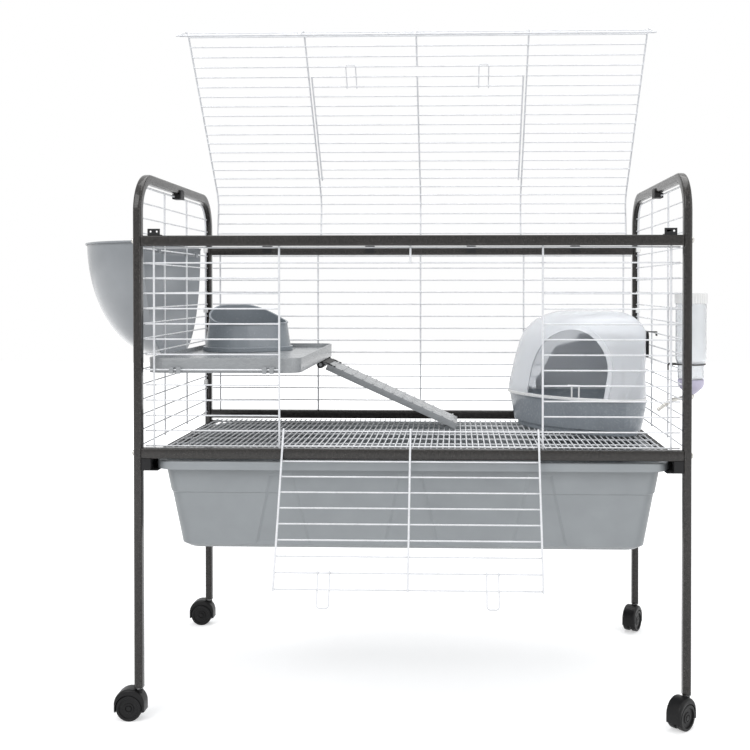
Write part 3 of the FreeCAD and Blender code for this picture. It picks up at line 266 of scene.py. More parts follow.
@dataclass(frozen=True)
class WireCoat:
    """Thick white coat on wire, a little uneven."""

    name: str
    low: Colour = (0.66, 0.67, 0.69)
    high: Colour = (0.77, 0.78, 0.80)
    clouds: float = 45.0                # changes of the colour per metre
    dull: float = 160.0                 # dull spots per metre
    lumps: float = 520.0                # lumps of the coat per metre
    rough: Span = (0.22, 0.40)
    coat: float = 0.3
    coat_rough: float = 0.15

    def make(self) -> Material:
        """Build the material.

        Returns:
            The material.
        """
        graph = Graph(self.name)
        cloud = graph.noise(self.clouds, detail=5.0)
        graph.feed("Base Color", graph.tint(cloud, self.low, self.high, span=(0.25, 0.6)))
        graph.feed("Roughness", graph.spread(graph.noise(self.dull), self.rough))
        graph.set("Coat Weight", self.coat)
        graph.set("Coat Roughness", self.coat_rough)
        graph.feed("Normal", graph.bump(graph.noise(self.lumps), depth=0.12, strength=0.35))
        return graph.material


@dataclass(frozen=True)
class Moulded:
    """Moulded plastic with a fine grain, faint flow clouds and scuffs."""

    name: str
    colour: Colour
    shift: float = 0.06                 # change of the colour over the clouds
    rough: float = 0.42
    grain: float = 0.06                 # height of the grain
    grain_scale: float = 1500.0         # grains per metre
    scuff: float = 0.12                 # change of the roughness over the scuffs
    gloss: float = 0.5                  # level of the mirror part
    wave: float = 0.12                  # share of the flow waves that shows
    ior: float = 1.48
    clouds: float = 14.0                # changes of the colour per metre
    scuffs: float = 60.0                # scuffs per metre
    scuff_pull: Point = (1.0, 9.0, 3.0)
    waves: float = 22.0                 # flow waves per metre
    wave_height: float = 0.6

    def shade(self, factor: float) -> Colour:
        """Colour made lighter or darker."""
        return tuple(min(1.0, part * factor) for part in self.colour)

    def make(self) -> Material:
        """Build the material.

        Returns:
            The material.
        """
        graph = Graph(self.name)
        cloud = graph.noise(self.clouds, detail=5.0)
        graph.feed("Base Color",
                   graph.tint(cloud, self.shade(1 - self.shift), self.shade(1 + self.shift)))
        scratch = graph.noise(self.scuffs, detail=6.0, pull=self.scuff_pull)
        rough = (self.rough - self.scuff / 2, self.rough + self.scuff)
        graph.feed("Roughness", graph.spread(scratch, rough, span=(0.35, 0.7)))
        graph.set("IOR", self.ior)
        graph.set("Specular IOR Level", self.gloss)
        fine = graph.bump(graph.noise(self.grain_scale, detail=2.0), self.grain, strength=0.5)
        flow = graph.noise(self.waves, detail=2.0)
        graph.feed("Normal", graph.bump(flow, self.wave_height, self.wave, under=fine))
        return graph.material


@dataclass(frozen=True)
class SeeThrough:
    """Clear or frosted plastic."""

    name: str
    colour: Colour
    transmission: float
    rough: float
    haze: float = 0.14                  # change of the roughness over the surface
    fade: float = 0.96                  # how much darker the clouds are
    ior: float = 1.36
    clouds: float = 18.0                # changes of the colour per metre
    grain: float = 0.05                 # height of the grain
    grain_scale: float = 900.0          # grains per metre
    waves: float = 16.0                 # flow waves per metre
    wave_height: float = 0.5

    def make(self) -> Material:
        """Build the material.

        Returns:
            The material.
        """
        graph = Graph(self.name)
        cloud = graph.noise(self.clouds, detail=4.0)
        darker = tuple(part * self.fade for part in self.colour)
        graph.feed("Base Color", graph.tint(cloud, darker, self.colour))
        graph.feed("Roughness", graph.spread(cloud, (self.rough, self.rough + self.haze)))
        graph.set("Transmission Weight", self.transmission)
        graph.set("IOR", self.ior)
        fine = graph.bump(graph.noise(self.grain_scale, detail=2.0), self.grain, strength=0.4)
        flow = graph.noise(self.waves, detail=2.0)
        graph.feed("Normal", graph.bump(flow, self.wave_height, strength=0.10, under=fine))
        return graph.material


@dataclass(frozen=True)
class Steel:
    """Bright drawn steel with fine lines."""

    name: str
    low: Colour = (0.40, 0.39, 0.37)
    high: Colour = (0.58, 0.57, 0.54)
    lines: float = 240.0                # lines per metre
    pull: Point = (0.2, 4.0, 4.0)
    rough: Span = (0.18, 0.36)

    def make(self) -> Material:
        """Build the material.

        Returns:
            The material.
        """
        graph = Graph(self.name)
        lines = graph.noise(self.lines, detail=4.0, pull=self.pull)
        graph.feed("Base Color", graph.tint(lines, self.low, self.high))
        graph.feed("Roughness", graph.spread(lines, self.rough))
        graph.set("Metallic", 1.0)
        graph.feed("Normal", graph.bump(lines, depth=0.03, strength=0.4))
        return graph.material


class Finish(Enum):
    """Finishes of the cage, named like the record's material slots."""

    FRAME_COAT = HammeredCoat("hammered_coat")
    WIRE_WHITE = WireCoat("white_wire_coat")
    GREY_PLASTIC = Moulded("grey_moulding", (0.295, 0.315, 0.328), rough=0.36)
    # Copy of the grey plastic, made darker on the bowl: painted shade.
    DEEP_GREY = Moulded("bowl_grey_moulding_painted_shade", (0.247, 0.273, 0.298), rough=0.22, scuff=0.08,
                        wave=0.06)
    # Bluish copy of the grey plastic, made lighter on the house pan against the shade it sits in:
    # painted light.
    BLUE_GREY = Moulded("pan_grey_moulding_painted_light", (0.294, 0.323, 0.354), rough=0.24, scuff=0.08,
                        wave=0.06)
    # Copy of the grey plastic, glossier on the hay rack and made darker there: the darker colour is
    # painted shade.
    GLOSSY_GREY = Moulded("rack_grey_moulding_painted_shade", (0.262, 0.278, 0.294), rough=0.18, scuff=0.06,
                          wave=0.20)
    SILVER_PLASTIC = Moulded("silver_moulding", (0.310, 0.322, 0.332), shift=0.04, rough=0.26,
                             grain=0.04, scuff=0.06, wave=0.04)
    FROSTED_PLASTIC = SeeThrough("frosted_hood", (0.95, 0.97, 1.0), transmission=0.52, rough=0.10)
    CLEAR_PLASTIC = SeeThrough("clear_bottle", (0.95, 0.965, 0.98), transmission=0.80, rough=0.10)
    PALE_PLASTIC = Moulded("pale_moulding", (0.84, 0.84, 0.83), rough=0.35)
    VIOLET_PLASTIC = Moulded("violet_moulding", (0.55, 0.52, 0.66), rough=0.32)
    BLACK_PLASTIC = Moulded("black_moulding", (0.016, 0.016, 0.017), shift=0.25, rough=0.46,
                            gloss=0.22)
    BLACK_NYLON = Moulded("caster_moulding", (0.008, 0.008, 0.0085), shift=0.30, rough=0.36,
                          grain=0.04, grain_scale=900.0, gloss=0.24)
    STEEL = Steel("drawn_steel")

    @property
    def slot(self) -> str:
        """Name of the record's material slot, which the grey plastic shares with its lit and shaded
        copies.
        """
        greys = (Finish.DEEP_GREY, Finish.BLUE_GREY, Finish.GLOSSY_GREY)
        return (Finish.GREY_PLASTIC if self in greys else self).name.lower()

    @property
    def material(self) -> Material:
        """The material, made once."""
        if self not in MADE:
            MADE[self] = self.value.make()
        return MADE[self]


MADE: dict[Finish, Material] = {}


def ends(edges: list[BMEdge]) -> list[BMVert]:
    """Vertices of some edges, each of them once."""
    return list(dict.fromkeys(vert for edge in edges for vert in edge.verts))


def narrowed(half_x: float, half_y: float, by: float) -> Point:
    """Scale factors that draw the sides of a rectangle in by a distance."""
    return (half_x - by) / half_x, (half_y - by) / half_y, 1.0


@dataclass(frozen=True)
class Bend:
    """Round bend of a path at one of its corners."""

    start: Vector
    end: Vector
    centre: Vector
    axis: Vector
    angle: float                        # in radians

    @classmethod
    def between(cls, before: Vector, corner: Vector, after: Vector, radius: float) -> "Bend":
        """Bend between two straight runs.

        Args:
            before: point on the first run.
            corner: where the two runs would meet.
            after: point on the second run.
            radius: radius of the bend.

        Returns:
            The bend.
        """
        into = (corner - before).normalized()
        out = (after - corner).normalized()
        angle = into.angle(out)
        back = radius * math.tan(angle / 2)
        start = corner - into * back
        side = (out - into * out.dot(into)).normalized()
        return cls(start, corner + out * back, start + side * radius, into.cross(out), angle)


class Form:
    """A mesh in the making, in millimetres, shaped by bmesh operators."""

    def __init__(self) -> None:
        """Start empty."""
        self.bm = bmesh.new()

    def plate(self, half_x: float, half_y: float, corner: float, at: Point,
              segments: int) -> BMFace:
        """Level face with round corners.

        Args:
            half_x: half of its length.
            half_y: half of its width.
            corner: radius of its corners.
            at: its middle.
            segments: edges round each corner.

        Returns:
            The face.
        """
        before = set(self.bm.faces)
        verts = bmesh.ops.create_grid(self.bm, x_segments=1, y_segments=1, size=1.0)["verts"]
        bmesh.ops.scale(self.bm, vec=(half_x, half_y, 1.0), verts=verts)
        bmesh.ops.translate(self.bm, vec=at, verts=verts)
        bmesh.ops.bevel(self.bm, geom=verts, offset=corner, offset_type="OFFSET",
                        segments=segments, profile=0.5, affect="VERTICES", material=-1)
        return max(set(self.bm.faces) - before, key=lambda face: face.calc_area())

    def disc(self, radius: float, at: Point, axis: Point, segments: int) -> BMFace:
        """Round face.

        Args:
            radius: its radius.
            at: its middle.
            axis: direction that it faces.
            segments: edges round it.

        Returns:
            The face.
        """
        turn = Vector(UP).rotation_difference(Vector(axis)).to_matrix().to_4x4()
        made = bmesh.ops.create_circle(self.bm, cap_ends=True, radius=radius, segments=segments,
                                       matrix=Matrix.Translation(at) @ turn)
        return made["verts"][0].link_faces[0]

    def block(self, low: Point, high: Point) -> None:
        """Block between two corners.

        Args:
            low: lowest corner.
            high: highest corner.
        """
        size = Vector(high) - Vector(low)
        middle = (Vector(high) + Vector(low)) / 2
        verts = bmesh.ops.create_cube(self.bm, size=1.0)["verts"]
        bmesh.ops.scale(self.bm, vec=size, verts=verts)
        bmesh.ops.translate(self.bm, vec=middle, verts=verts)

    def grow(self, face: BMFace, factor: Point, move: Point) -> BMFace:
        """Draw a face out, with a wall behind it.

        Args:
            face: face to draw out.
            factor: scale of the new face.
            move: travel of the new face.

        Returns:
            The new face.
        """
        top = bmesh.ops.extrude_discrete_faces(self.bm, faces=[face])["faces"][0]
        bmesh.ops.scale(self.bm, vec=factor, verts=top.verts)
        bmesh.ops.translate(self.bm, vec=move, verts=top.verts)
        return top

    def inset(self, faces: list[BMFace], width: float) -> None:
        """Set faces in from their common outline, evenly all round."""
        bmesh.ops.inset_region(self.bm, faces=faces, use_boundary=True, use_even_offset=True,
                               thickness=width)

    def drop(self, face: BMFace) -> None:
        """Take a face away and leave its edges."""
        bmesh.ops.delete(self.bm, geom=[face], context="FACES_ONLY")

    def rims(self) -> list[BMEdge]:
        """Open edges, in no order."""
        return [edge for edge in self.bm.edges if edge.is_boundary]

    def creases(self, angle: float, z: float) -> list[BMEdge]:
        """Sharp level edges at one height.

        Args:
            angle: least angle between the faces.
            z: height of the edges.

        Returns:
            The edges.
        """
        self.bm.normal_update()
        level = [edge for edge in self.bm.edges
                 if all(abs(vert.co.z - z) <= MM for vert in edge.verts)]
        return [edge for edge in level if edge.calc_face_angle(0.0) > math.radians(angle)]

    def soften(self, edges: list[BMEdge], radius: float, segments: int = 4) -> None:
        """Round edges.

        Args:
            edges: edges to round.
            radius: radius of the round.
            segments: faces across it.
        """
        bmesh.ops.bevel(self.bm, geom=edges, offset=radius, offset_type="OFFSET",
                        segments=segments, profile=0.5, affect="EDGES", clamp_overlap=True,
                        material=-1)

    def transform(self, matrix: Matrix) -> None:
        """Move the whole mesh."""
        bmesh.ops.transform(self.bm, matrix=matrix, verts=self.bm.verts)

    def place(self, turn: float, at: Point) -> None:
        """Turn the whole mesh about Z and move it."""
        self.transform(Matrix.Translation(at) @ Matrix.Rotation(math.radians(turn), 4, "Z"))

    def merge(self, reach: float = WELD) -> None:
        """Join vertices that lie within reach of each other."""
        bmesh.ops.remove_doubles(self.bm, verts=self.bm.verts, dist=reach)

    def run(self, edges: list[BMEdge], travel: Vector) -> list[BMEdge]:
        """Draw a ring of edges straight out.

        Args:
            edges: ring to draw out.
            travel: length and direction.

        Returns:
            The ring at the far end.
        """
        made = bmesh.ops.extrude_edge_only(self.bm, edges=edges)["geom"]
        verts = [item for item in made if isinstance(item, BMVert)]
        bmesh.ops.translate(self.bm, vec=travel, verts=verts)
        return [item for item in made if isinstance(item, BMEdge) and set(item.verts) <= set(verts)]

    def lift(self, edges: list[BMEdge], height: float) -> list[BMEdge]:
        """Draw a ring of edges straight up, or down where the height is less than 0."""
        return self.run(edges, Vector((0, 0, height)))

    def turn(self, edges: list[BMEdge], bend: Bend, steps: int) -> list[BMEdge]:
        """Draw a ring of edges round a bend.

        Args:
            edges: ring to draw out.
            bend: bend to follow.
            steps: sections round the bend.

        Returns:
            The ring at the far end.
        """
        made = bmesh.ops.spin(self.bm, geom=ends(edges) + edges, cent=bend.centre, axis=bend.axis,
                              angle=bend.angle, steps=steps, use_merge=False,
                              use_duplicate=False)["geom_last"]
        return [item for item in made if isinstance(item, BMEdge)]

    def follow(self, face: BMFace, points: list[Point], radius: float, steps: int) -> None:
        """Sweep a face along a path with round bends and close the far end.

        Args:
            face: section at the path's start.
            points: corners of the path.
            radius: bend radius at the inner corners.
            steps: sections round each bend.
        """
        path = [Vector(point) for point in points]
        ring = list(face.edges)
        at = path[0]
        for corner, after in zip(path[1:], path[2:]):
            bend = Bend.between(at, corner, after, radius)
            ring = self.turn(self.run(ring, bend.start - at), bend, steps)
            at = bend.end
        ring = self.run(ring, path[-1] - at)
        bmesh.ops.contextual_create(self.bm, geom=ring)

    def chain(self, points: list[Point], radii: tuple[float, ...], steps: int) -> list[BMEdge]:
        """Line of edges through corners, with round bends.

        Args:
            points: corners of the line.
            radii: bend radius at each inner corner, or 0 for a sharp one.
            steps: edges round each bend.

        Returns:
            The edges of the line.
        """
        path = [Vector(point) for point in points]
        before = set(self.bm.edges)
        tip = self.bm.verts.new(path[0])
        for corner, after, radius in zip(path[1:], path[2:], radii):
            bend = Bend.between(tip.co, corner, after, radius)
            if (bend.start - tip.co).length > MM:
                tip = self.drawn(tip, bend.start)
            if radius > 0:
                tip = self.arc(tip, bend.centre, bend.axis, math.degrees(bend.angle), steps)
        self.drawn(tip, path[-1])
        return [edge for edge in self.bm.edges if edge not in before]

    def arc(self, tip: BMVert, centre: Point, axis: Point, degrees: float, steps: int) -> BMVert:
        """Draw a vertex out along an arc, with edges behind it.

        Args:
            tip: vertex to draw out.
            centre: centre of the arc.
            axis: axis of the arc.
            degrees: angle of the arc.
            steps: edges along it.

        Returns:
            The vertex at the far end.
        """
        made = bmesh.ops.spin(self.bm, geom=[tip], cent=centre, axis=axis,
                              angle=math.radians(degrees), steps=steps, use_merge=False,
                              use_duplicate=False)["geom_last"]
        return next(item for item in made if isinstance(item, BMVert))

    def drawn(self, tip: BMVert, to: Vector) -> BMVert:
        """Draw a vertex out to a point, with an edge behind it.

        Args:
            tip: vertex to draw out.
            to: point to reach.

        Returns:
            The vertex at the far end.
        """
        end = bmesh.ops.extrude_vert_indiv(self.bm, verts=[tip])["verts"][0]
        end.co = to
        return end

    def revolve(self, edges: list[BMEdge], centre: Point, steps: int, axis: Point = UP) -> None:
        """Turn a line of edges all round into a closed surface that points outwards.

        Args:
            edges: line to turn.
            centre: point on the axis.
            steps: sections round the axis.
            axis: direction of the axis.
        """
        bmesh.ops.spin(self.bm, geom=ends(edges) + edges, cent=centre, axis=axis,
                       angle=2 * math.pi, steps=steps, use_merge=True, use_duplicate=False)
        self.merge()
        self.outward()

    def everything(self) -> list[BMVert | BMEdge | BMFace]:
        """All vertices, edges and faces."""
        return [*self.bm.verts, *self.bm.edges, *self.bm.faces]

    def cut(self, at: Point, normal: Point) -> None:
        """Cut away what lies past a plane, on the side that its normal points to."""
        bmesh.ops.bisect_plane(self.bm, geom=self.everything(), plane_co=at, plane_no=normal,
                               clear_outer=True)

    def part(self, z: float) -> None:
        """Lay edges through every face at one height."""
        bmesh.ops.bisect_plane(self.bm, geom=self.everything(), dist=WELD, plane_co=(0, 0, z),
                               plane_no=UP)

    def copy_node(self, node: str) -> None:
        """Take over a CAD node's shape, with its loose triangles joined into faces.

        Args:
            node: name of the node.
        """
        self.bm.from_mesh(frame["nodes"][node].data)
        bmesh.ops.scale(self.bm, vec=(1 / MM,) * 3, verts=self.bm.verts)
        self.merge(CAD_WELD)
        bmesh.ops.dissolve_limit(self.bm, angle_limit=math.radians(CAD_FLAT),
                                 verts=self.bm.verts, edges=self.bm.edges)
        bmesh.ops.dissolve_degenerate(self.bm, dist=CAD_SLIVER, edges=self.bm.edges)

    def outward(self) -> None:
        """Point every face outwards."""
        bmesh.ops.recalc_face_normals(self.bm, faces=self.bm.faces)

    def piece(self, name: str, body: str, finish: Finish, nodes: tuple[str, ...] = (),
              wall: float = 0.0, edge: float = 0.0, sharp: float = 38.0) -> None:
        """Make the object, dress it and set it on its body.

        Args:
            name: name of the piece.
            body: body that it rides on.
            finish: its finish.
            nodes: CAD nodes that it stands for.
            wall: wall thickness grown behind the faces, or 0.
            edge: radius of the rounded edges, or 0.
            sharp: angle past which an edge is sharp.
        """
        bmesh.ops.scale(self.bm, vec=(MM,) * 3, verts=self.bm.verts)
        for face in self.bm.faces:
            face.smooth = True
        self.bm.normal_update()
        for line in self.bm.edges:
            line.smooth = bool(edge) or line.calc_face_angle(0.0) < math.radians(sharp)
        thing = self.thing(name, finish.material)
        if wall:
            modifier = thing.modifiers.new("wall", "SOLIDIFY")
            modifier.thickness = wall * MM
            modifier.offset = -1.0
            modifier.use_even_offset = True
        if edge:
            modifier = thing.modifiers.new("edge", "BEVEL")
            modifier.width = edge * MM
            modifier.segments = 3
            modifier.limit_method = "ANGLE"
            modifier.angle_limit = math.radians(sharp)
            modifier.harden_normals = True
        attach(thing, body)
        if nodes:
            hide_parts(*nodes)
        log.info("piece %s on %s", name, body)

    def thing(self, name: str, material: Material) -> Object:
        """Turn the mesh into an object of the scene.

        Args:
            name: name of the object.
            material: its material.

        Returns:
            The object.
        """
        mesh = bpy.data.meshes.new(name)
        self.bm.to_mesh(mesh)
        self.bm.free()
        mesh.materials.append(material)
        made = bpy.data.objects.new(name, mesh)
        bpy.context.scene.collection.objects.link(made)
        return made


def edged(node: str, name: str, body: str, finish: Finish, edge: float) -> None:
    """Make a piece that has a CAD node's shape with rounded edges.

    Args:
        node: name of the CAD node.
        name: name of the piece.
        body: body that it rides on.
        finish: its finish.
        edge: radius of the rounded edges, or 0.
    """
    form = Form()
    form.copy_node(node)
    form.piece(name, body, finish, (node,), edge=edge, sharp=CAD_SHARP)


class Side(Enum):
    """The two ends of the cage."""

    LEFT = -1
    RIGHT = 1

    @property
    def word(self) -> str:
        """Name of the side in the nodes' names."""
        return self.name.lower()


@dataclass
class Stand:
    """Bent end frames and the square rails between them."""

    leg_x: float = 528.0
    leg_y: float = 280.0
    foot: float = 64.0
    bar_z: float = 1055.0
    across: float = 16.0                # end frame's tube along X
    deep: float = 20.0                  # end frame's tube along Y
    corner: float = 4.5
    bend: float = 70.0
    rail_side: float = 20.0
    rail_corner: float = 2.0
    rail_end: float = 519.95
    rails: tuple[tuple[str, int], ...] = (
        ("front_upper_rail", -1), ("rear_upper_rail", 1),
        ("front_lower_rail", -1), ("rear_lower_rail", 1))

    def tube(self, node: str, form: Form, face: BMFace, points: list[Point]) -> None:
        """Sweep a section into one tube of the stand.

        Args:
            node: CAD node that the tube stands for.
            form: mesh that holds the section.
            face: section at the tube's start.
            points: corners of the tube's path.
        """
        form.follow(face, points, self.bend, steps=16)
        form.outward()
        form.piece("tube_" + node, "cage", Finish.FRAME_COAT, (node,))

    def end_frame(self, side: Side) -> None:
        """One leg, the top bar and the other leg, in one tube.

        Args:
            side: end of the cage.
        """
        form = Form()
        x, y, low, high = side.value * self.leg_x, self.leg_y, self.foot, self.bar_z
        face = form.plate(self.across / 2, self.deep / 2, self.corner, (x, -y, low), segments=5)
        self.tube("end_frame_" + side.word, form, face,
                  [(x, -y, low), (x, -y, high), (x, y, high), (x, y, low)])

    def rail(self, node: str, y: float, z: float) -> None:
        """One rail with its rounded edges.

        Args:
            node: CAD node of the rail.
            y: place of its middle along Y.
            z: height of its middle.
        """
        form = Form()
        half = self.rail_side / 2
        face = form.plate(half, half, self.rail_corner, (0, 0, 0), segments=4)
        start, end = Vector((-self.rail_end, y, z)), Vector((self.rail_end, y, z))
        form.transform(Matrix.Translation(start) @ Matrix.Rotation(math.radians(90), 4, "Y"))
        self.tube(node, form, face, [start, end])

    def build(self) -> None:
        """Make the frames and rails."""
        for side in Side:
            self.end_frame(side)
        for node, end in self.rails:
            low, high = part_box(node)
            self.rail(node, end * self.leg_y, (low.z + high.z) / 2 / MM)


@dataclass
class LitterTray:
    """Deep tray with a turned-down rim, a step in its wall and flutes in its front and back."""

    half_x: float = 500.0
    half_y: float = 288.0
    corner: float = 45.0
    rim: float = 504.0
    lip: float = 16.2
    neck: float = 14.0
    taper: float = 29.0
    depth: float = 180.0
    wall: float = 3.0
    step: float = 2.0
    step_depth: float = 62.0
    heel: float = 12.0
    rim_round: float = 3.5
    floor_round: float = 5.0
    flutes: tuple[float, ...] = (-252.0, 0.0, 250.0)
    flute_start: float = 25.0           # below the rim
    flute_top: float = 18.0             # half width at the rim
    flute_foot: float = 58.0            # half width at the bottom
    flute_sink: float = 2.6
    flute_bank: float = 5.0
    steep: float = 0.6                  # least part of a wall's normal along Y

    def sheet(self, form: Form) -> None:
        """Inner face of the tray, the rim and the lip, as one open sheet.

        Args:
            form: mesh to add to.
        """
        face = form.plate(self.half_x, self.half_y, self.corner, (0, 0, self.rim), segments=12)
        form.lift(list(face.edges), -self.lip)
        form.inset([face], self.neck + self.wall)
        slope = self.taper / self.depth
        below = self.depth - self.heel - self.step_depth - self.step
        half_x = self.half_x - self.neck - self.wall
        half_y = self.half_y - self.neck - self.wall
        for draw, fall in ((slope * self.step_depth, self.step_depth), (self.step, self.step),
                           (slope * below, below), (self.heel, self.heel - self.wall)):
            face = form.grow(face, narrowed(half_x, half_y, draw), (0, 0, -fall))
            half_x, half_y = half_x - draw, half_y - draw

    def walls(self, form: Form, end: int) -> list[BMFace]:
        """Faces of the front or back wall that the flutes run through.

        Args:
            form: mesh of the tray.
            end: -1 for the front and 1 for the back.

        Returns:
            The faces.
        """
        form.bm.normal_update()
        low, high = self.rim - self.depth + self.heel, self.rim - self.flute_start
        near = self.half_y - 2 * self.neck - self.taper
        middles = [(face, face.calc_center_median()) for face in form.bm.faces
                   if face.normal.y * end < -self.steep]
        return [face for face, at in middles if end * at.y > near and low < at.z < high]

    def flute(self, form: Form, end: int, x: float) -> None:
        """Press one tapered flute into a wall.

        Args:
            form: mesh of the tray.
            end: -1 for the front and 1 for the back.
            x: middle of the flute.
        """
        widening = self.flute_foot - self.flute_top
        for side in (-1, 1):
            faces = self.walls(form, end)
            edges = {edge for face in faces for edge in face.edges}
            verts = {vert for face in faces for vert in face.verts}
            bmesh.ops.bisect_plane(form.bm, geom=[*verts, *edges, *faces],
                                   plane_co=(x + side * self.flute_top, 0, self.rim),
                                   plane_no=(self.depth, 0, side * widening))
        inside = []
        for face in self.walls(form, end):
            at = face.calc_center_median()
            share = (self.rim - at.z) / self.depth
            if abs(at.x - x) < self.flute_top + share * widening:
                inside.append(face)
        form.inset(inside, self.flute_bank)
        verts = {vert for face in inside for vert in face.verts}
        bmesh.ops.translate(form.bm, vec=(0, -end * self.flute_sink, 0), verts=list(verts))

    def build(self) -> None:
        """Make the tray."""
        form = Form()
        self.sheet(form)
        form.outward()
        floor = self.rim - self.depth + self.wall
        form.soften(form.creases(angle=60.0, z=self.rim), self.rim_round)
        form.soften(form.creases(angle=20.0, z=floor), self.floor_round)
        form.part(self.rim - self.flute_start)
        for end in (-1, 1):
            for x in self.flutes:
                self.flute(form, end, x)
        form.merge()
        form.piece("tray_shell", "tray", Finish.GREY_PLASTIC, ("tray",), wall=self.wall, edge=0.9,
                   sharp=24.0)


@dataclass
class FoodBowl:
    """Bowl on a wide foot, its rim low at the front and raised at the back."""

    at: Point = (-402.0, 150.0, 692.34)
    turn: float = 36.0
    half_x: float = 98.0
    half_y: float = 84.0
    corner: float = 76.0
    corner_steps: int = 14
    draw: float = 12.0
    wall: float = 2.5
    front: float = 66.0
    back: float = 107.0
    rise: float = 2.5                   # how late the rim rises towards the back
    spare: float = 1.2                  # height of the uncut wall, as a share of the back
    flange: float = 5.0
    flange_height: float = 10.0
    floor_round: float = 10.0
    lip: float = 2.6                    # how far the rim is turned out
    lip_height: float = 4.5
    seam: float = 0.2                   # the wall and the foot meet within this

    def cup(self, form: Form, inset: float, foot: float) -> BMFace:
        """Wall from a foot to well above the rim, drawn in on the way.

        Args:
            form: mesh to add to.
            inset: how far the wall lies inside the bowl's outline.
            foot: lower end.

        Returns:
            The face that closes the foot.
        """
        half_x, half_y, top = self.half_x - inset, self.half_y - inset, self.spare * self.back
        floor = form.plate(half_x, half_y, self.corner - inset, (0, 0, foot), self.corner_steps)
        ring = form.lift(list(floor.edges), top - foot)
        factors = narrowed(half_x, half_y, self.draw * self.spare)
        bmesh.ops.scale(form.bm, vec=factors, verts=ends(ring))
        return floor

    def sole(self, form: Form) -> BMFace:
        """Level face with the outline of the foot."""
        return form.plate(self.half_x + self.flange, self.half_y + self.flange,
                          self.corner + self.flange, (0, 0, 0), self.corner_steps)

    def ring(self, edges: list[BMEdge], first: BMEdge) -> list[BMEdge]:
        """Edges of one closed ring.

        Args:
            edges: edges of several rings.
            first: an edge of the wanted ring.

        Returns:
            The ring that the first edge belongs to.
        """
        found, reached = {first}, set(first.verts)
        while True:
            more = {edge for edge in edges if edge not in found and reached & set(edge.verts)}
            if not more:
                return list(found)
            found |= more
            reached |= set(ends(list(more)))

    def rim(self, form: Form) -> None:
        """Cut the walls to the rim, raise its back and turn its edge out.

        Args:
            form: mesh that holds the outer and the inner wall.
        """
        slant = self.back - self.front
        form.cut((0, -self.half_y, self.front), (0, -slant, 2 * self.half_y))
        rims = [edge for edge in form.rims()
                if max(vert.co.z for vert in edge.verts) > self.front / 2]
        for vert in ends(rims):
            share = (1 + vert.co.y / (self.half_y - self.draw)) / 2
            vert.co.z = self.front + slant * min(1.0, max(0.0, share)) ** self.rise
        outer = self.ring(rims, max(rims, key=lambda edge: edge.verts[0].co.x))
        under = form.lift(outer, -self.lip_height)
        bmesh.ops.scale(form.bm, vec=narrowed(self.half_x, self.half_y, -self.lip),
                        verts=ends(under))
        turned = form.lift(under, self.lip_height)
        bmesh.ops.bridge_loops(form.bm, edges=turned + [edge for edge in rims if edge not in outer])

    def build(self) -> None:
        """Make the bowl."""
        form = Form()
        form.drop(self.cup(form, 0.0, self.flange_height))
        inside = self.cup(form, self.wall, self.wall)
        form.soften(list(inside.edges), self.floor_round, segments=5)
        self.rim(form)
        skirt = form.grow(self.sole(form), (1, 1, 1), (0, 0, self.flange_height))
        form.inset([skirt], self.flange)
        form.drop(skirt)
        self.sole(form)
        form.merge(self.seam)
        form.outward()
        form.place(self.turn, self.at)
        form.piece("bowl_shell", "food_bowl", Finish.DEEP_GREY, ("food_bowl",), edge=1.1,
                   sharp=30.0)


@dataclass
class HayRack:
    """Half bowl on the left panel, with a turned rim, a strip and two hooks."""

    face_x: float = -533.85
    axis_x: float = -485.77
    radius: float = 230.08
    rim: float = 934.14
    depth: float = 243.0
    curve: float = 157.0
    wall: float = 2.5
    lip: float = 4.0
    lip_height: float = 4.0
    lip_bend: float = 1.6
    strip: float = 22.0
    strip_half: float = 219.0
    hook_x: float = -523.2              # inner face of the hooks
    hook_y: float = 150.0
    hook_z: float = 918.94              # underside of the hooks
    hook_half: float = 8.0
    hook_wall: float = 3.0
    hook_drop: float = 8.0

    def bowl(self) -> None:
        """Curved wall with the rim turned out."""
        form = Form()
        top, floor = self.rim, self.rim - self.depth + self.wall
        rim, lip = self.axis_x - self.radius + self.wall, self.axis_x - self.radius - self.lip
        form.chain([(lip, 0, top - self.lip_height), (lip, 0, top), (rim, 0, top)],
                   (self.lip_bend,), steps=5)
        reach = self.curve - self.wall
        centre = Vector((rim + reach, 0, top))
        tip = form.bm.verts.new((rim, 0, top))
        form.arc(tip, centre, (0, 1, 0), degrees=-90.0, steps=26)
        low = [vert for vert in form.bm.verts if vert.co.x > rim + MM]
        bmesh.ops.scale(form.bm, vec=(1, 1, (top - floor) / reach),
                        space=Matrix.Translation(-centre), verts=low)
        form.drawn(form.bm.verts.new((centre.x, 0, floor)), Vector((self.axis_x, 0, floor)))
        form.merge()
        form.revolve(list(form.bm.edges), (self.axis_x, 0, 0), steps=120)
        form.cut((self.face_x, 0, 0), (1, 0, 0))
        form.outward()
        form.piece("rack_shell", "hay_rack", Finish.GLOSSY_GREY, ("hay_rack",), wall=self.wall,
                   edge=0.7, sharp=50.0)

    def strip_and_hooks(self) -> None:
        """Strip along the panel and the hooks over its line."""
        form = Form()
        back, near, under = self.face_x - self.wall, self.hook_x, self.hook_z
        form.block((back, -self.strip_half, self.rim - self.strip),
                   (self.face_x, self.strip_half, self.rim))
        for y in (-self.hook_y, self.hook_y):
            low, high = y - self.hook_half, y + self.hook_half
            form.block((back + WELD, low, under), (near, high, under + self.hook_wall))
            form.block((near - self.hook_wall, low + WELD, under - self.hook_drop),
                       (near - WELD, high - WELD, under + self.hook_wall / 2))
        form.outward()
        form.piece("rack_strip", "hay_rack", Finish.GLOSSY_GREY, edge=0.6)

    def build(self) -> None:
        """Make the rack."""
        self.bowl()
        self.strip_and_hooks()


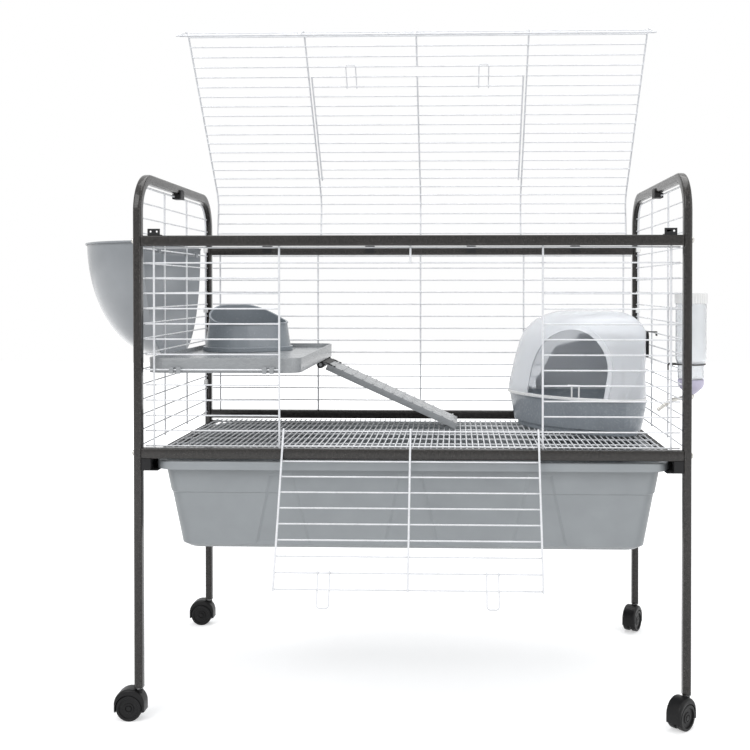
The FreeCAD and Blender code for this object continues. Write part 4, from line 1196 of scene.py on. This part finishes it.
@dataclass
class ShelfAndRamp:
    """Shelf with a framed front, and the ribbed ramp on its pin."""

    left: float = -518.0
    right: float = -216.0
    half_y: float = 266.0
    foot: float = 673.04
    top: float = 702.04
    corner: float = 30.0
    panel_proud: float = 0.8
    panel_inset: float = 5.0
    panel_margin: float = 1.0           # from the shelf's round corners
    root: float = 1.0                   # how deep the trim sits in what carries it
    lug_gap: float = 0.3                # below the shelf's foot
    lug_reach: float = 34.0             # from the shelf's open end
    pin: Point = (-222.0, 150.0, 663.04)
    length: float = 340.0
    half_width: float = 62.5
    sole: float = 6.0
    deck: float = 8.0
    drop: float = 146.64
    sleeve: float = 8.4
    sleeve_gap: float = 0.4
    bar_start: float = 9.0              # from the pin
    bar_width: float = 7.0
    bar_proud: float = 2.0
    neck_proud: float = 0.8
    arm: Span = (12.0, 33.0)            # from the pin
    arm_width: float = 5.0

    def share(self, lugs: bool) -> Form:
        """Closed part of the CAD shelf.

        Args:
            lugs: whether to take the ramp's lugs, or all the rest.

        Returns:
            The mesh of that part.
        """
        form = Form()
        form.copy_node("shelf")
        form.part(self.foot)
        low, near = self.foot - self.lug_gap, self.right - self.lug_reach
        middles = [(face, face.calc_center_median()) for face in form.bm.faces]
        other = [face for face, at in middles if (at.z < low and at.x > near) != lugs]
        bmesh.ops.delete(form.bm, geom=other, context="FACES")
        bmesh.ops.holes_fill(form.bm, edges=form.rims())
        return form

    def shelf(self) -> None:
        """Shelf with rounded edges, black lugs for the ramp, and a raised panel on two sides."""
        form = self.share(lugs=False)
        form.piece("shelf_shell", "cage", Finish.SILVER_PLASTIC, ("shelf",), edge=1.4,
                   sharp=CAD_SHARP)
        form = self.share(lugs=True)
        form.outward()
        form.piece("ramp_lugs", "cage", Finish.BLACK_PLASTIC, ("shelf",), sharp=CAD_SHARP)
        panels = Form()
        low, high = self.foot + self.panel_inset / 2, self.top - self.panel_inset
        margin = self.corner + self.panel_margin
        start, stop = self.left + margin, self.right - margin
        for end in (-1, 1):
            near, far = sorted((end * (self.half_y - self.root),
                                end * (self.half_y + self.panel_proud)))
            panels.block((start, near, low), (stop, far, high))
        panels.outward()
        panels.piece("shelf_panels", "cage", Finish.SILVER_PLASTIC, edge=0.5)

    @property
    def slope(self) -> float:
        """Slope of the ramp in radians."""
        lean = math.atan2(self.sole, self.length)
        return math.asin(self.drop / math.hypot(self.length, self.sole)) - lean

    def bracket(self) -> None:
        """Dark sleeve round the pin, with the bar, the neck and the arms on the deck, which make
        the ramp's upper end dark.
        """
        form = Form()
        edge, start, root = self.half_width, self.bar_start, self.root
        low, high = self.deck - root, self.deck + self.bar_proud
        bmesh.ops.create_cone(form.bm, cap_ends=True, segments=40, radius1=self.sleeve,
                              radius2=self.sleeve, depth=2 * edge - self.sleeve_gap,
                              matrix=Matrix.Rotation(math.radians(90), 4, "X"))
        form.block((start, -edge, low), (start + self.bar_width, edge, high))
        # Thin black plate over the deck from the pin to the bar: it makes the ramp's upper end
        # dark.
        form.block((0.0, WELD - edge, low - root),
                   (start + root, edge - WELD, self.deck + self.neck_proud))
        for end in (-1, 1):
            near, far = sorted((end * (edge - self.arm_width), end * edge))
            form.block((self.arm[0], near + WELD, low + WELD),
                       (self.arm[1], far - WELD, high - WELD))
        form.transform(Matrix.Translation(self.pin) @ Matrix.Rotation(self.slope, 4, "Y"))
        form.outward()
        form.piece("ramp_bracket", "ramp", Finish.BLACK_PLASTIC, edge=0.6)

    def build(self) -> None:
        """Make the shelf and the ramp."""
        self.shelf()
        edged("ramp", "ramp_shell", "ramp", Finish.SILVER_PLASTIC, edge=0.6)
        self.bracket()


@dataclass
class CornerHouse:
    """Pan with high back plates, frosted hood with a doorway, and the white clip in it."""

    corner: Point = (504.7, 251.7, 592.45)
    radius: float = 299.5
    bend: float = 60.0
    band: float = 6.2
    band_wall: float = 1.6
    band_proud: float = 1.8
    clip_angle: float = 238.0
    clip_out: float = 296.0
    clip_foot: float = 599.2
    clip_rise: float = 27.0
    clip_root: float = 1.0              # how far the legs end below the bar's top
    clip_half: float = 1.5
    clip_legs: Span = (-7.5, 9.5)
    clip_leg_half: float = 1.6
    clip_bar: Span = (-17.0, 11.0)
    clip_bar_proud: float = 0.6
    clip_bar_height: float = 4.0

    def hood(self) -> None:
        """Frosted hood and the band round its foot."""
        form = Form()
        form.copy_node("house_hood")
        form.piece("hood_shell", "house_hood", Finish.FROSTED_PLASTIC, ("house_hood",), sharp=34.0)
        ring = Form()
        near = self.bend
        far = math.sqrt((self.radius - self.bend) ** 2 - near ** 2)
        turn = math.degrees(math.atan2(far, near))
        tip = ring.bm.verts.new((-near + self.bend + self.band_proud, -far, 0))
        for centre, angle, steps in (((-near, -far, 0), turn - 180.0, 18),
                                     ((0, 0, 0), 90.0 - 2 * turn, 40),
                                     ((-far, -near, 0), turn - 180.0, 18)):
            tip = ring.arc(tip, centre, UP, angle, steps)
        ring.lift(list(ring.bm.edges), self.band)
        ring.outward()
        ring.place(0.0, self.corner)
        # The band is frosted plastic like the hood; its pale opaque finish paints the white glow
        # that light gives its thick edge.
        ring.piece("hood_band", "house_hood", Finish.PALE_PLASTIC, wall=self.band_wall, edge=0.6)

    def clip(self) -> None:
        """White clip: two legs with a bar across them."""
        form = Form()
        half, wide, top = self.clip_half, self.clip_half + self.clip_bar_proud, self.clip_rise
        for y in self.clip_legs:
            form.block((-half, y - self.clip_leg_half, 0.0),
                       (half, y + self.clip_leg_half, top - self.clip_root))
        left, right = self.clip_bar
        form.block((-wide, left, top - self.clip_bar_height), (wide, right, top))
        form.outward()
        form.transform(Matrix.Translation((self.clip_out, 0, self.clip_foot)))
        form.place(self.clip_angle, (self.corner[0], self.corner[1], 0))
        form.piece("clip_tab", "house_hood", Finish.PALE_PLASTIC, ("house_clip",), edge=0.5)

    def build(self) -> None:
        """Make the house."""
        edged("house_base", "house_pan", "cage", Finish.BLUE_GREY, edge=1.2)
        self.hood()
        self.clip()


@dataclass
class WaterBottle:
    """Bottle with its screw lid above and its nozzle and bent spout below."""

    x: float = 568.55
    y: float = -135.0
    neck_foot: float = 651.89
    shoulder: Span = (682.89, 692.89)
    top: float = 812.89
    radius: float = 31.0
    neck_radius: float = 27.0
    hole: float = 3.0
    wall: float = 1.5
    bends: tuple[float, ...] = (4.0, 4.0, 5.0)
    lid_foot: float = 806.89
    lid_height: float = 24.0
    lid_radius: float = 33.05
    lid_round: float = 4.0
    lid_wall: float = 1.4
    grip: float = 0.5
    upright: float = 0.05               # most of a side's normal along Z
    nozzle_gap: float = 0.05
    nozzle_foot: float = 621.89
    nozzle_waist: float = 26.0
    nozzle_end: float = 9.0
    nozzle_bends: tuple[float, ...] = (1.0, 18.0, 1.5)
    ball: float = 616.89
    ball_radius: float = 7.0
    spout_radius: float = 4.0
    spout_wall: float = 1.1
    spout_bore: float = 5.0
    spout_round: float = 14.0
    spout_first: Point = (-38.0, 0.0, -7.0)
    spout_last: Point = (-29.0, 0.0, -21.0)

    def turned(self, line: list[Span], bends: tuple[float, ...], bend_steps: int,
               steps: int) -> Form:
        """Round mesh on the bottle's axis.

        Args:
            line: radii and heights of its outline.
            bends: radius of the bend at each inner corner.
            bend_steps: edges round each bend.
            steps: sections round the axis.

        Returns:
            The mesh.
        """
        form = Form()
        points = [(self.x + out, self.y, z) for out, z in line]
        form.revolve(form.chain(points, bends, bend_steps), (self.x, self.y, 0), steps)
        return form

    def bottle(self) -> None:
        """Clear bottle, open at the top."""
        low, high = self.shoulder
        form = self.turned([(self.hole, self.neck_foot), (self.neck_radius, self.neck_foot),
                            (self.neck_radius, low), (self.radius, high), (self.radius, self.top)],
                           self.bends, bend_steps=6, steps=56)
        form.piece("bottle_shell", "bottle", Finish.CLEAR_PLASTIC, ("bottle",), wall=self.wall,
                   edge=self.wall / 4, sharp=40.0)

    def lid(self) -> None:
        """Screw lid with grips round its side."""
        out, top = self.lid_radius - self.grip, self.lid_foot + self.lid_height
        form = self.turned([(out, self.lid_foot), (out, top), (0.0, top)], (self.lid_round,),
                           bend_steps=5, steps=72)
        sides = [face for face in form.bm.faces if abs(face.normal.z) < self.upright]
        bmesh.ops.inset_individual(form.bm, faces=sides[::2], thickness=self.grip,
                                   depth=self.grip, use_even_offset=True)
        form.piece("lid_cap", "bottle_lid", Finish.PALE_PLASTIC, ("bottle_lid",),
                   wall=self.lid_wall, edge=0.3, sharp=44.0)

    def nozzle(self) -> None:
        """Domed nozzle under the bottle."""
        top, foot = self.neck_foot - self.nozzle_gap, self.nozzle_foot
        middle = (self.neck_foot + foot) / 2
        form = self.turned([(0.0, top), (self.neck_radius, top), (self.nozzle_waist, middle),
                            (self.nozzle_end, foot), (0.0, foot)],
                           self.nozzle_bends, bend_steps=6, steps=56)
        form.piece("nozzle_dome", "bottle", Finish.VIOLET_PLASTIC, ("nozzle_cap",), sharp=40.0)

    def spout(self) -> None:
        """Bent tube with its ball and an open tip."""
        form = Form()
        start = Vector((self.x, self.y, self.ball))
        bend = start + Vector(self.spout_first)
        tip = bend + Vector(self.spout_last)
        section = form.disc(self.spout_radius, start, bend - start, segments=20)
        form.follow(section, [start, bend, tip], self.spout_round, steps=10)
        caps = [face for face in form.bm.faces if len(face.verts) > 4]
        end = min(caps, key=lambda face: face.calc_center_median().z)
        bmesh.ops.inset_region(form.bm, faces=[end], use_boundary=True, thickness=self.spout_wall,
                               depth=0.0)
        bmesh.ops.translate(form.bm, vec=(bend - tip).normalized() * self.spout_bore,
                            verts=end.verts)
        bmesh.ops.create_uvsphere(form.bm, u_segments=24, v_segments=16, radius=self.ball_radius,
                                  matrix=Matrix.Translation(start))
        form.outward()
        form.piece("spout_tube", "bottle", Finish.STEEL, ("spout",), sharp=50.0)

    def build(self) -> None:
        """Make the bottle."""
        self.bottle()
        self.lid()
        self.nozzle()
        self.spout()


@dataclass
class Casters:
    """Twin-wheel casters with hooded forks."""

    leg_x: float = 528.0
    leg_y: float = 280.0
    trail: float = 17.0
    axle_z: float = 25.0
    radius: float = 25.0
    width: float = 13.0
    inner: float = 2.9                  # from the caster's middle to the wheel
    bore: float = 3.1
    tread_round: float = 2.5
    groove: tuple[Span, ...] = ((4.2, 0.0), (4.6, 0.7), (5.4, 0.7), (5.8, 0.0))     # across, deep
    dish_radius: float = 19.0
    dish: float = 3.0
    hub: tuple[Span, ...] = ((10.5, 0.0), (9.8, 1.6), (6.6, 1.6), (6.0, 0.0))       # radius, rise
    face_bends: tuple[float, ...] = (0.8, 0.6, 0.4, 0.5, 0.5, 0.4)
    headings: tuple[tuple[str, int, int, float], ...] = (
        ("front_left", -1, -1, 180.0), ("rear_left", -1, 1, 180.0),
        ("front_right", 1, -1, 225.0), ("rear_right", 1, 1, 240.0))

    def wheel(self, letter: str, side: int, row: tuple[str, int, int, float]) -> None:
        """One wheel with a grooved tread, a dished face and a raised hub.

        Args:
            letter: letter of the wheel on its caster.
            side: side of the fork's web that it turns on.
            row: the caster's corner, its place and its heading.
        """
        corner, end_x, end_y, heading = row
        form = Form()
        out, wide, floor = self.radius, self.width, self.width - self.dish
        line = [(self.bore, 0.0), (out, 0.0)]
        line += [(out - deep, across) for across, deep in self.groove]
        line += [(out, wide), (self.dish_radius, wide), (self.dish_radius, floor)]
        line += [(reach, floor + rise) for reach, rise in self.hub]
        line += [(self.bore, floor), (self.bore, 0.0)]
        sharp = (0.0,) * len(self.groove)
        bends = (self.tread_round, *sharp, self.tread_round, *self.face_bends, 0.0)
        at = Vector((self.trail, 0.0, self.axle_z))
        points = [(at.x, side * (self.inner + across), at.z + reach) for reach, across in line]
        form.revolve(form.chain(points, bends, steps=4), at, steps=64, axis=(0, 1, 0))
        form.place(heading, (end_x * self.leg_x, end_y * self.leg_y, 0))
        body = "wheel_" + corner + "_" + letter
        form.piece("tread_" + body, body, Finish.BLACK_NYLON,
                   ("caster_" + corner + "_wheel_" + letter,), sharp=30.0)

    def build(self) -> None:
        """Make the four casters."""
        for row in self.headings:
            body = "caster_" + row[0]
            edged(body + "_fork", "hood_" + row[0], body, Finish.BLACK_NYLON, edge=0.7)
            edged(body + "_axle", "pin_" + row[0], body, Finish.BLACK_NYLON, edge=0.3)
            self.wheel("a", -1, row)
            self.wheel("b", 1, row)


@dataclass
class Fittings:
    """Small moulded and pressed parts, with their edges rounded."""

    split_z: float = 1000.0             # between the clips on the legs and those on the bars
    edge: float = 0.5
    clip_rows: tuple[tuple[str, int, Finish], ...] = (
        ("leg_clips", 1, Finish.PALE_PLASTIC), ("bar_clips", -1, Finish.BLACK_PLASTIC))
    small: tuple[tuple[str, Finish, float], ...] = (
        ("lid_tabs", Finish.BLACK_PLASTIC, 0.5), ("lid_hinge_saddles", Finish.BLACK_PLASTIC, 0.5),
        ("house_strap", Finish.BLACK_PLASTIC, 0.5), ("rail_bolts", Finish.STEEL, 0.3),
        ("bottle_holder", Finish.FRAME_COAT, 0.0))

    def clips(self) -> None:
        """White clips on the legs, black clips on the top bars."""
        for name, way, finish in self.clip_rows:
            form = Form()
            form.copy_node("panel_clips")
            form.cut((0, 0, self.split_z), (0, 0, way))
            form.piece(name, "cage", finish, ("panel_clips",), edge=self.edge, sharp=CAD_SHARP)

    def build(self) -> None:
        """Make the small parts."""
        self.clips()
        for node, finish, edge in self.small:
            edged(node, "edged_" + node, "cage", finish, edge)


@dataclass
class Studio:
    """Floor, backdrop, lamps and camera, in metres."""

    eye: Point = (0.0879, -2.2268, 0.840)
    yaw: float = -1.843
    pitch: float = 0.658
    lens: float = 48.68
    sensor: float = 36.0
    shift: Span = (-0.0647, -0.1013)
    reach: Span = (0.05, 60.0)          # nearest and farthest that the camera shows
    sky: float = 0.62
    sky_tint: Colour = (0.97, 0.98, 1.0)
    floor_half: float = 9.0
    floor_shade: float = 0.80
    fade: Span = (1.2, 2.6)             # distances between which the floor turns white
    glow: Span = (0.47, 1.0)            # the floor's glow at those distances
    lamps: tuple[tuple[str, Point, Point, float, float], ...] = (
        ("key", (-1.9, -2.6, 2.9), (0.0, 0.0, 0.7), 2.2, 55.0),
        ("fill", (2.6, -1.8, 1.8), (0.0, 0.0, 0.6), 2.4, 26.0),
        ("top", (0.2, 0.4, 3.4), (0.0, 0.0, 0.6), 2.6, 54.0))

    def world(self) -> None:
        """White backdrop that lights the cage evenly."""
        world = bpy.data.worlds.new("backdrop")
        bpy.context.scene.world = world
        world.use_nodes = True
        tree = world.node_tree
        tree.nodes.clear()
        light = add_node(tree, "Background", Color=(*self.sky_tint, 1.0), Strength=self.sky)
        white = add_node(tree, "Background", Color=(1.0, 1.0, 1.0, 1.0))
        mix = add_node(tree, "MixShader")
        out = add_node(tree, "OutputWorld")
        for index, source in enumerate((self.seen(tree), light.outputs[0], white.outputs[0])):
            tree.links.new(source, mix.inputs[index])
        tree.links.new(mix.outputs[0], out.inputs["Surface"])

    def seen(self, tree: NodeTree) -> NodeSocket:
        """One for a ray that shows the backdrop, straight or in gloss or through plastic.

        Args:
            tree: node tree of the world or the floor.

        Returns:
            The factor.
        """
        path = add_node(tree, "LightPath")
        factor = path.outputs["Is Camera Ray"]
        for name in ("Is Glossy Ray", "Is Transmission Ray"):
            more = add_node(tree, "Math")
            more.operation = "MAXIMUM"
            tree.links.new(factor, more.inputs[0])
            tree.links.new(path.outputs[name], more.inputs[1])
            factor = more.outputs[0]
        return factor

    def floor_material(self) -> Material:
        """Pale matt material that keeps a shadow and fades into the backdrop.

        Returns:
            The material.
        """
        material = bpy.data.materials.new("pale_floor")
        material.use_nodes = True
        tree = material.node_tree
        tree.nodes.clear()
        matt = add_node(tree, "BsdfDiffuse", Color=(*(self.floor_shade,) * 3, 1.0))
        glow = add_node(tree, "Emission")
        add = add_node(tree, "AddShader")
        far = add_node(tree, "VectorMath")
        far.operation = "LENGTH"
        fade = add_node(tree, "MapRange", From_Min=self.fade[0], From_Max=self.fade[1],
                        To_Min=self.glow[0], To_Max=self.glow[1])
        lift = add_node(tree, "Math")
        lift.operation = "MULTIPLY"
        out = add_node(tree, "OutputMaterial")
        for source, target in (
                (add_node(tree, "TexCoord").outputs["Object"], far.inputs[0]),
                (far.outputs["Value"], fade.inputs["Value"]),
                (self.seen(tree), lift.inputs[0]), (fade.outputs["Result"], lift.inputs[1]),
                (lift.outputs[0], glow.inputs["Strength"]),
                (matt.outputs[0], add.inputs[0]), (glow.outputs[0], add.inputs[1]),
                (add.outputs[0], out.inputs["Surface"])):
            tree.links.new(source, target)
        return material

    def floor(self) -> None:
        """Pale floor under the cage."""
        form = Form()
        bmesh.ops.create_grid(form.bm, x_segments=4, y_segments=4, size=self.floor_half)
        ground = form.thing("floor", self.floor_material())

    def lamp(self, name: str, at: Point, aim: Point, size: float, power: float) -> None:
        """One soft lamp.

        Args:
            name: name of the lamp.
            at: where it hangs.
            aim: what it points at.
            size: length of its side.
            power: its power in watts.
        """
        data = bpy.data.lights.new(name, "AREA")
        data.shape = "SQUARE"
        data.size = size
        data.energy = power
        lamp = bpy.data.objects.new(name, data)
        lamp.location = at
        lamp.rotation_euler = (Vector(aim) - Vector(at)).to_track_quat("-Z", "Y").to_euler()
        bpy.context.scene.collection.objects.link(lamp)

    def camera(self) -> None:
        """Camera at the photograph's viewing angle."""
        data = bpy.data.cameras.new("camera")
        data.sensor_width = self.sensor
        data.lens = self.lens
        data.shift_x, data.shift_y = self.shift
        data.clip_start, data.clip_end = self.reach
        camera = bpy.data.objects.new("camera", data)
        camera.location = self.eye
        camera.rotation_euler = (math.radians(90.0 - self.pitch), 0.0, -math.radians(self.yaw))
        bpy.context.scene.collection.objects.link(camera)
        bpy.context.scene.camera = camera

    def build(self) -> None:
        """Set up the studio."""
        bpy.context.scene.view_settings.view_transform = "Standard"
        self.world()
        self.floor()
        for row in self.lamps:
            self.lamp(*row)
        self.camera()


def dress_nodes() -> None:
    """Give every CAD node the finish of its slot."""
    for row in frame["record"]["subparts"]:
        slots = frame["nodes"][row["node"]].data.materials
        slots.clear()
        slots.append(Finish[row["material_slot"].upper()].material)
        log.info("node %s in %s", row["node"], row["material_slot"])


def main() -> None:
    """Build the dressed cage in order."""
    logging.basicConfig(level=logging.INFO, format="%(name)s: %(message)s")
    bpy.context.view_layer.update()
    Studio().build()
    dress_nodes()
    for assembly in (Stand(), LitterTray(), ShelfAndRamp(), FoodBowl(), CornerHouse(), HayRack(),
                     WaterBottle(), Casters(), Fittings()):
        assembly.build()


if __name__ == "__main__":
    main()
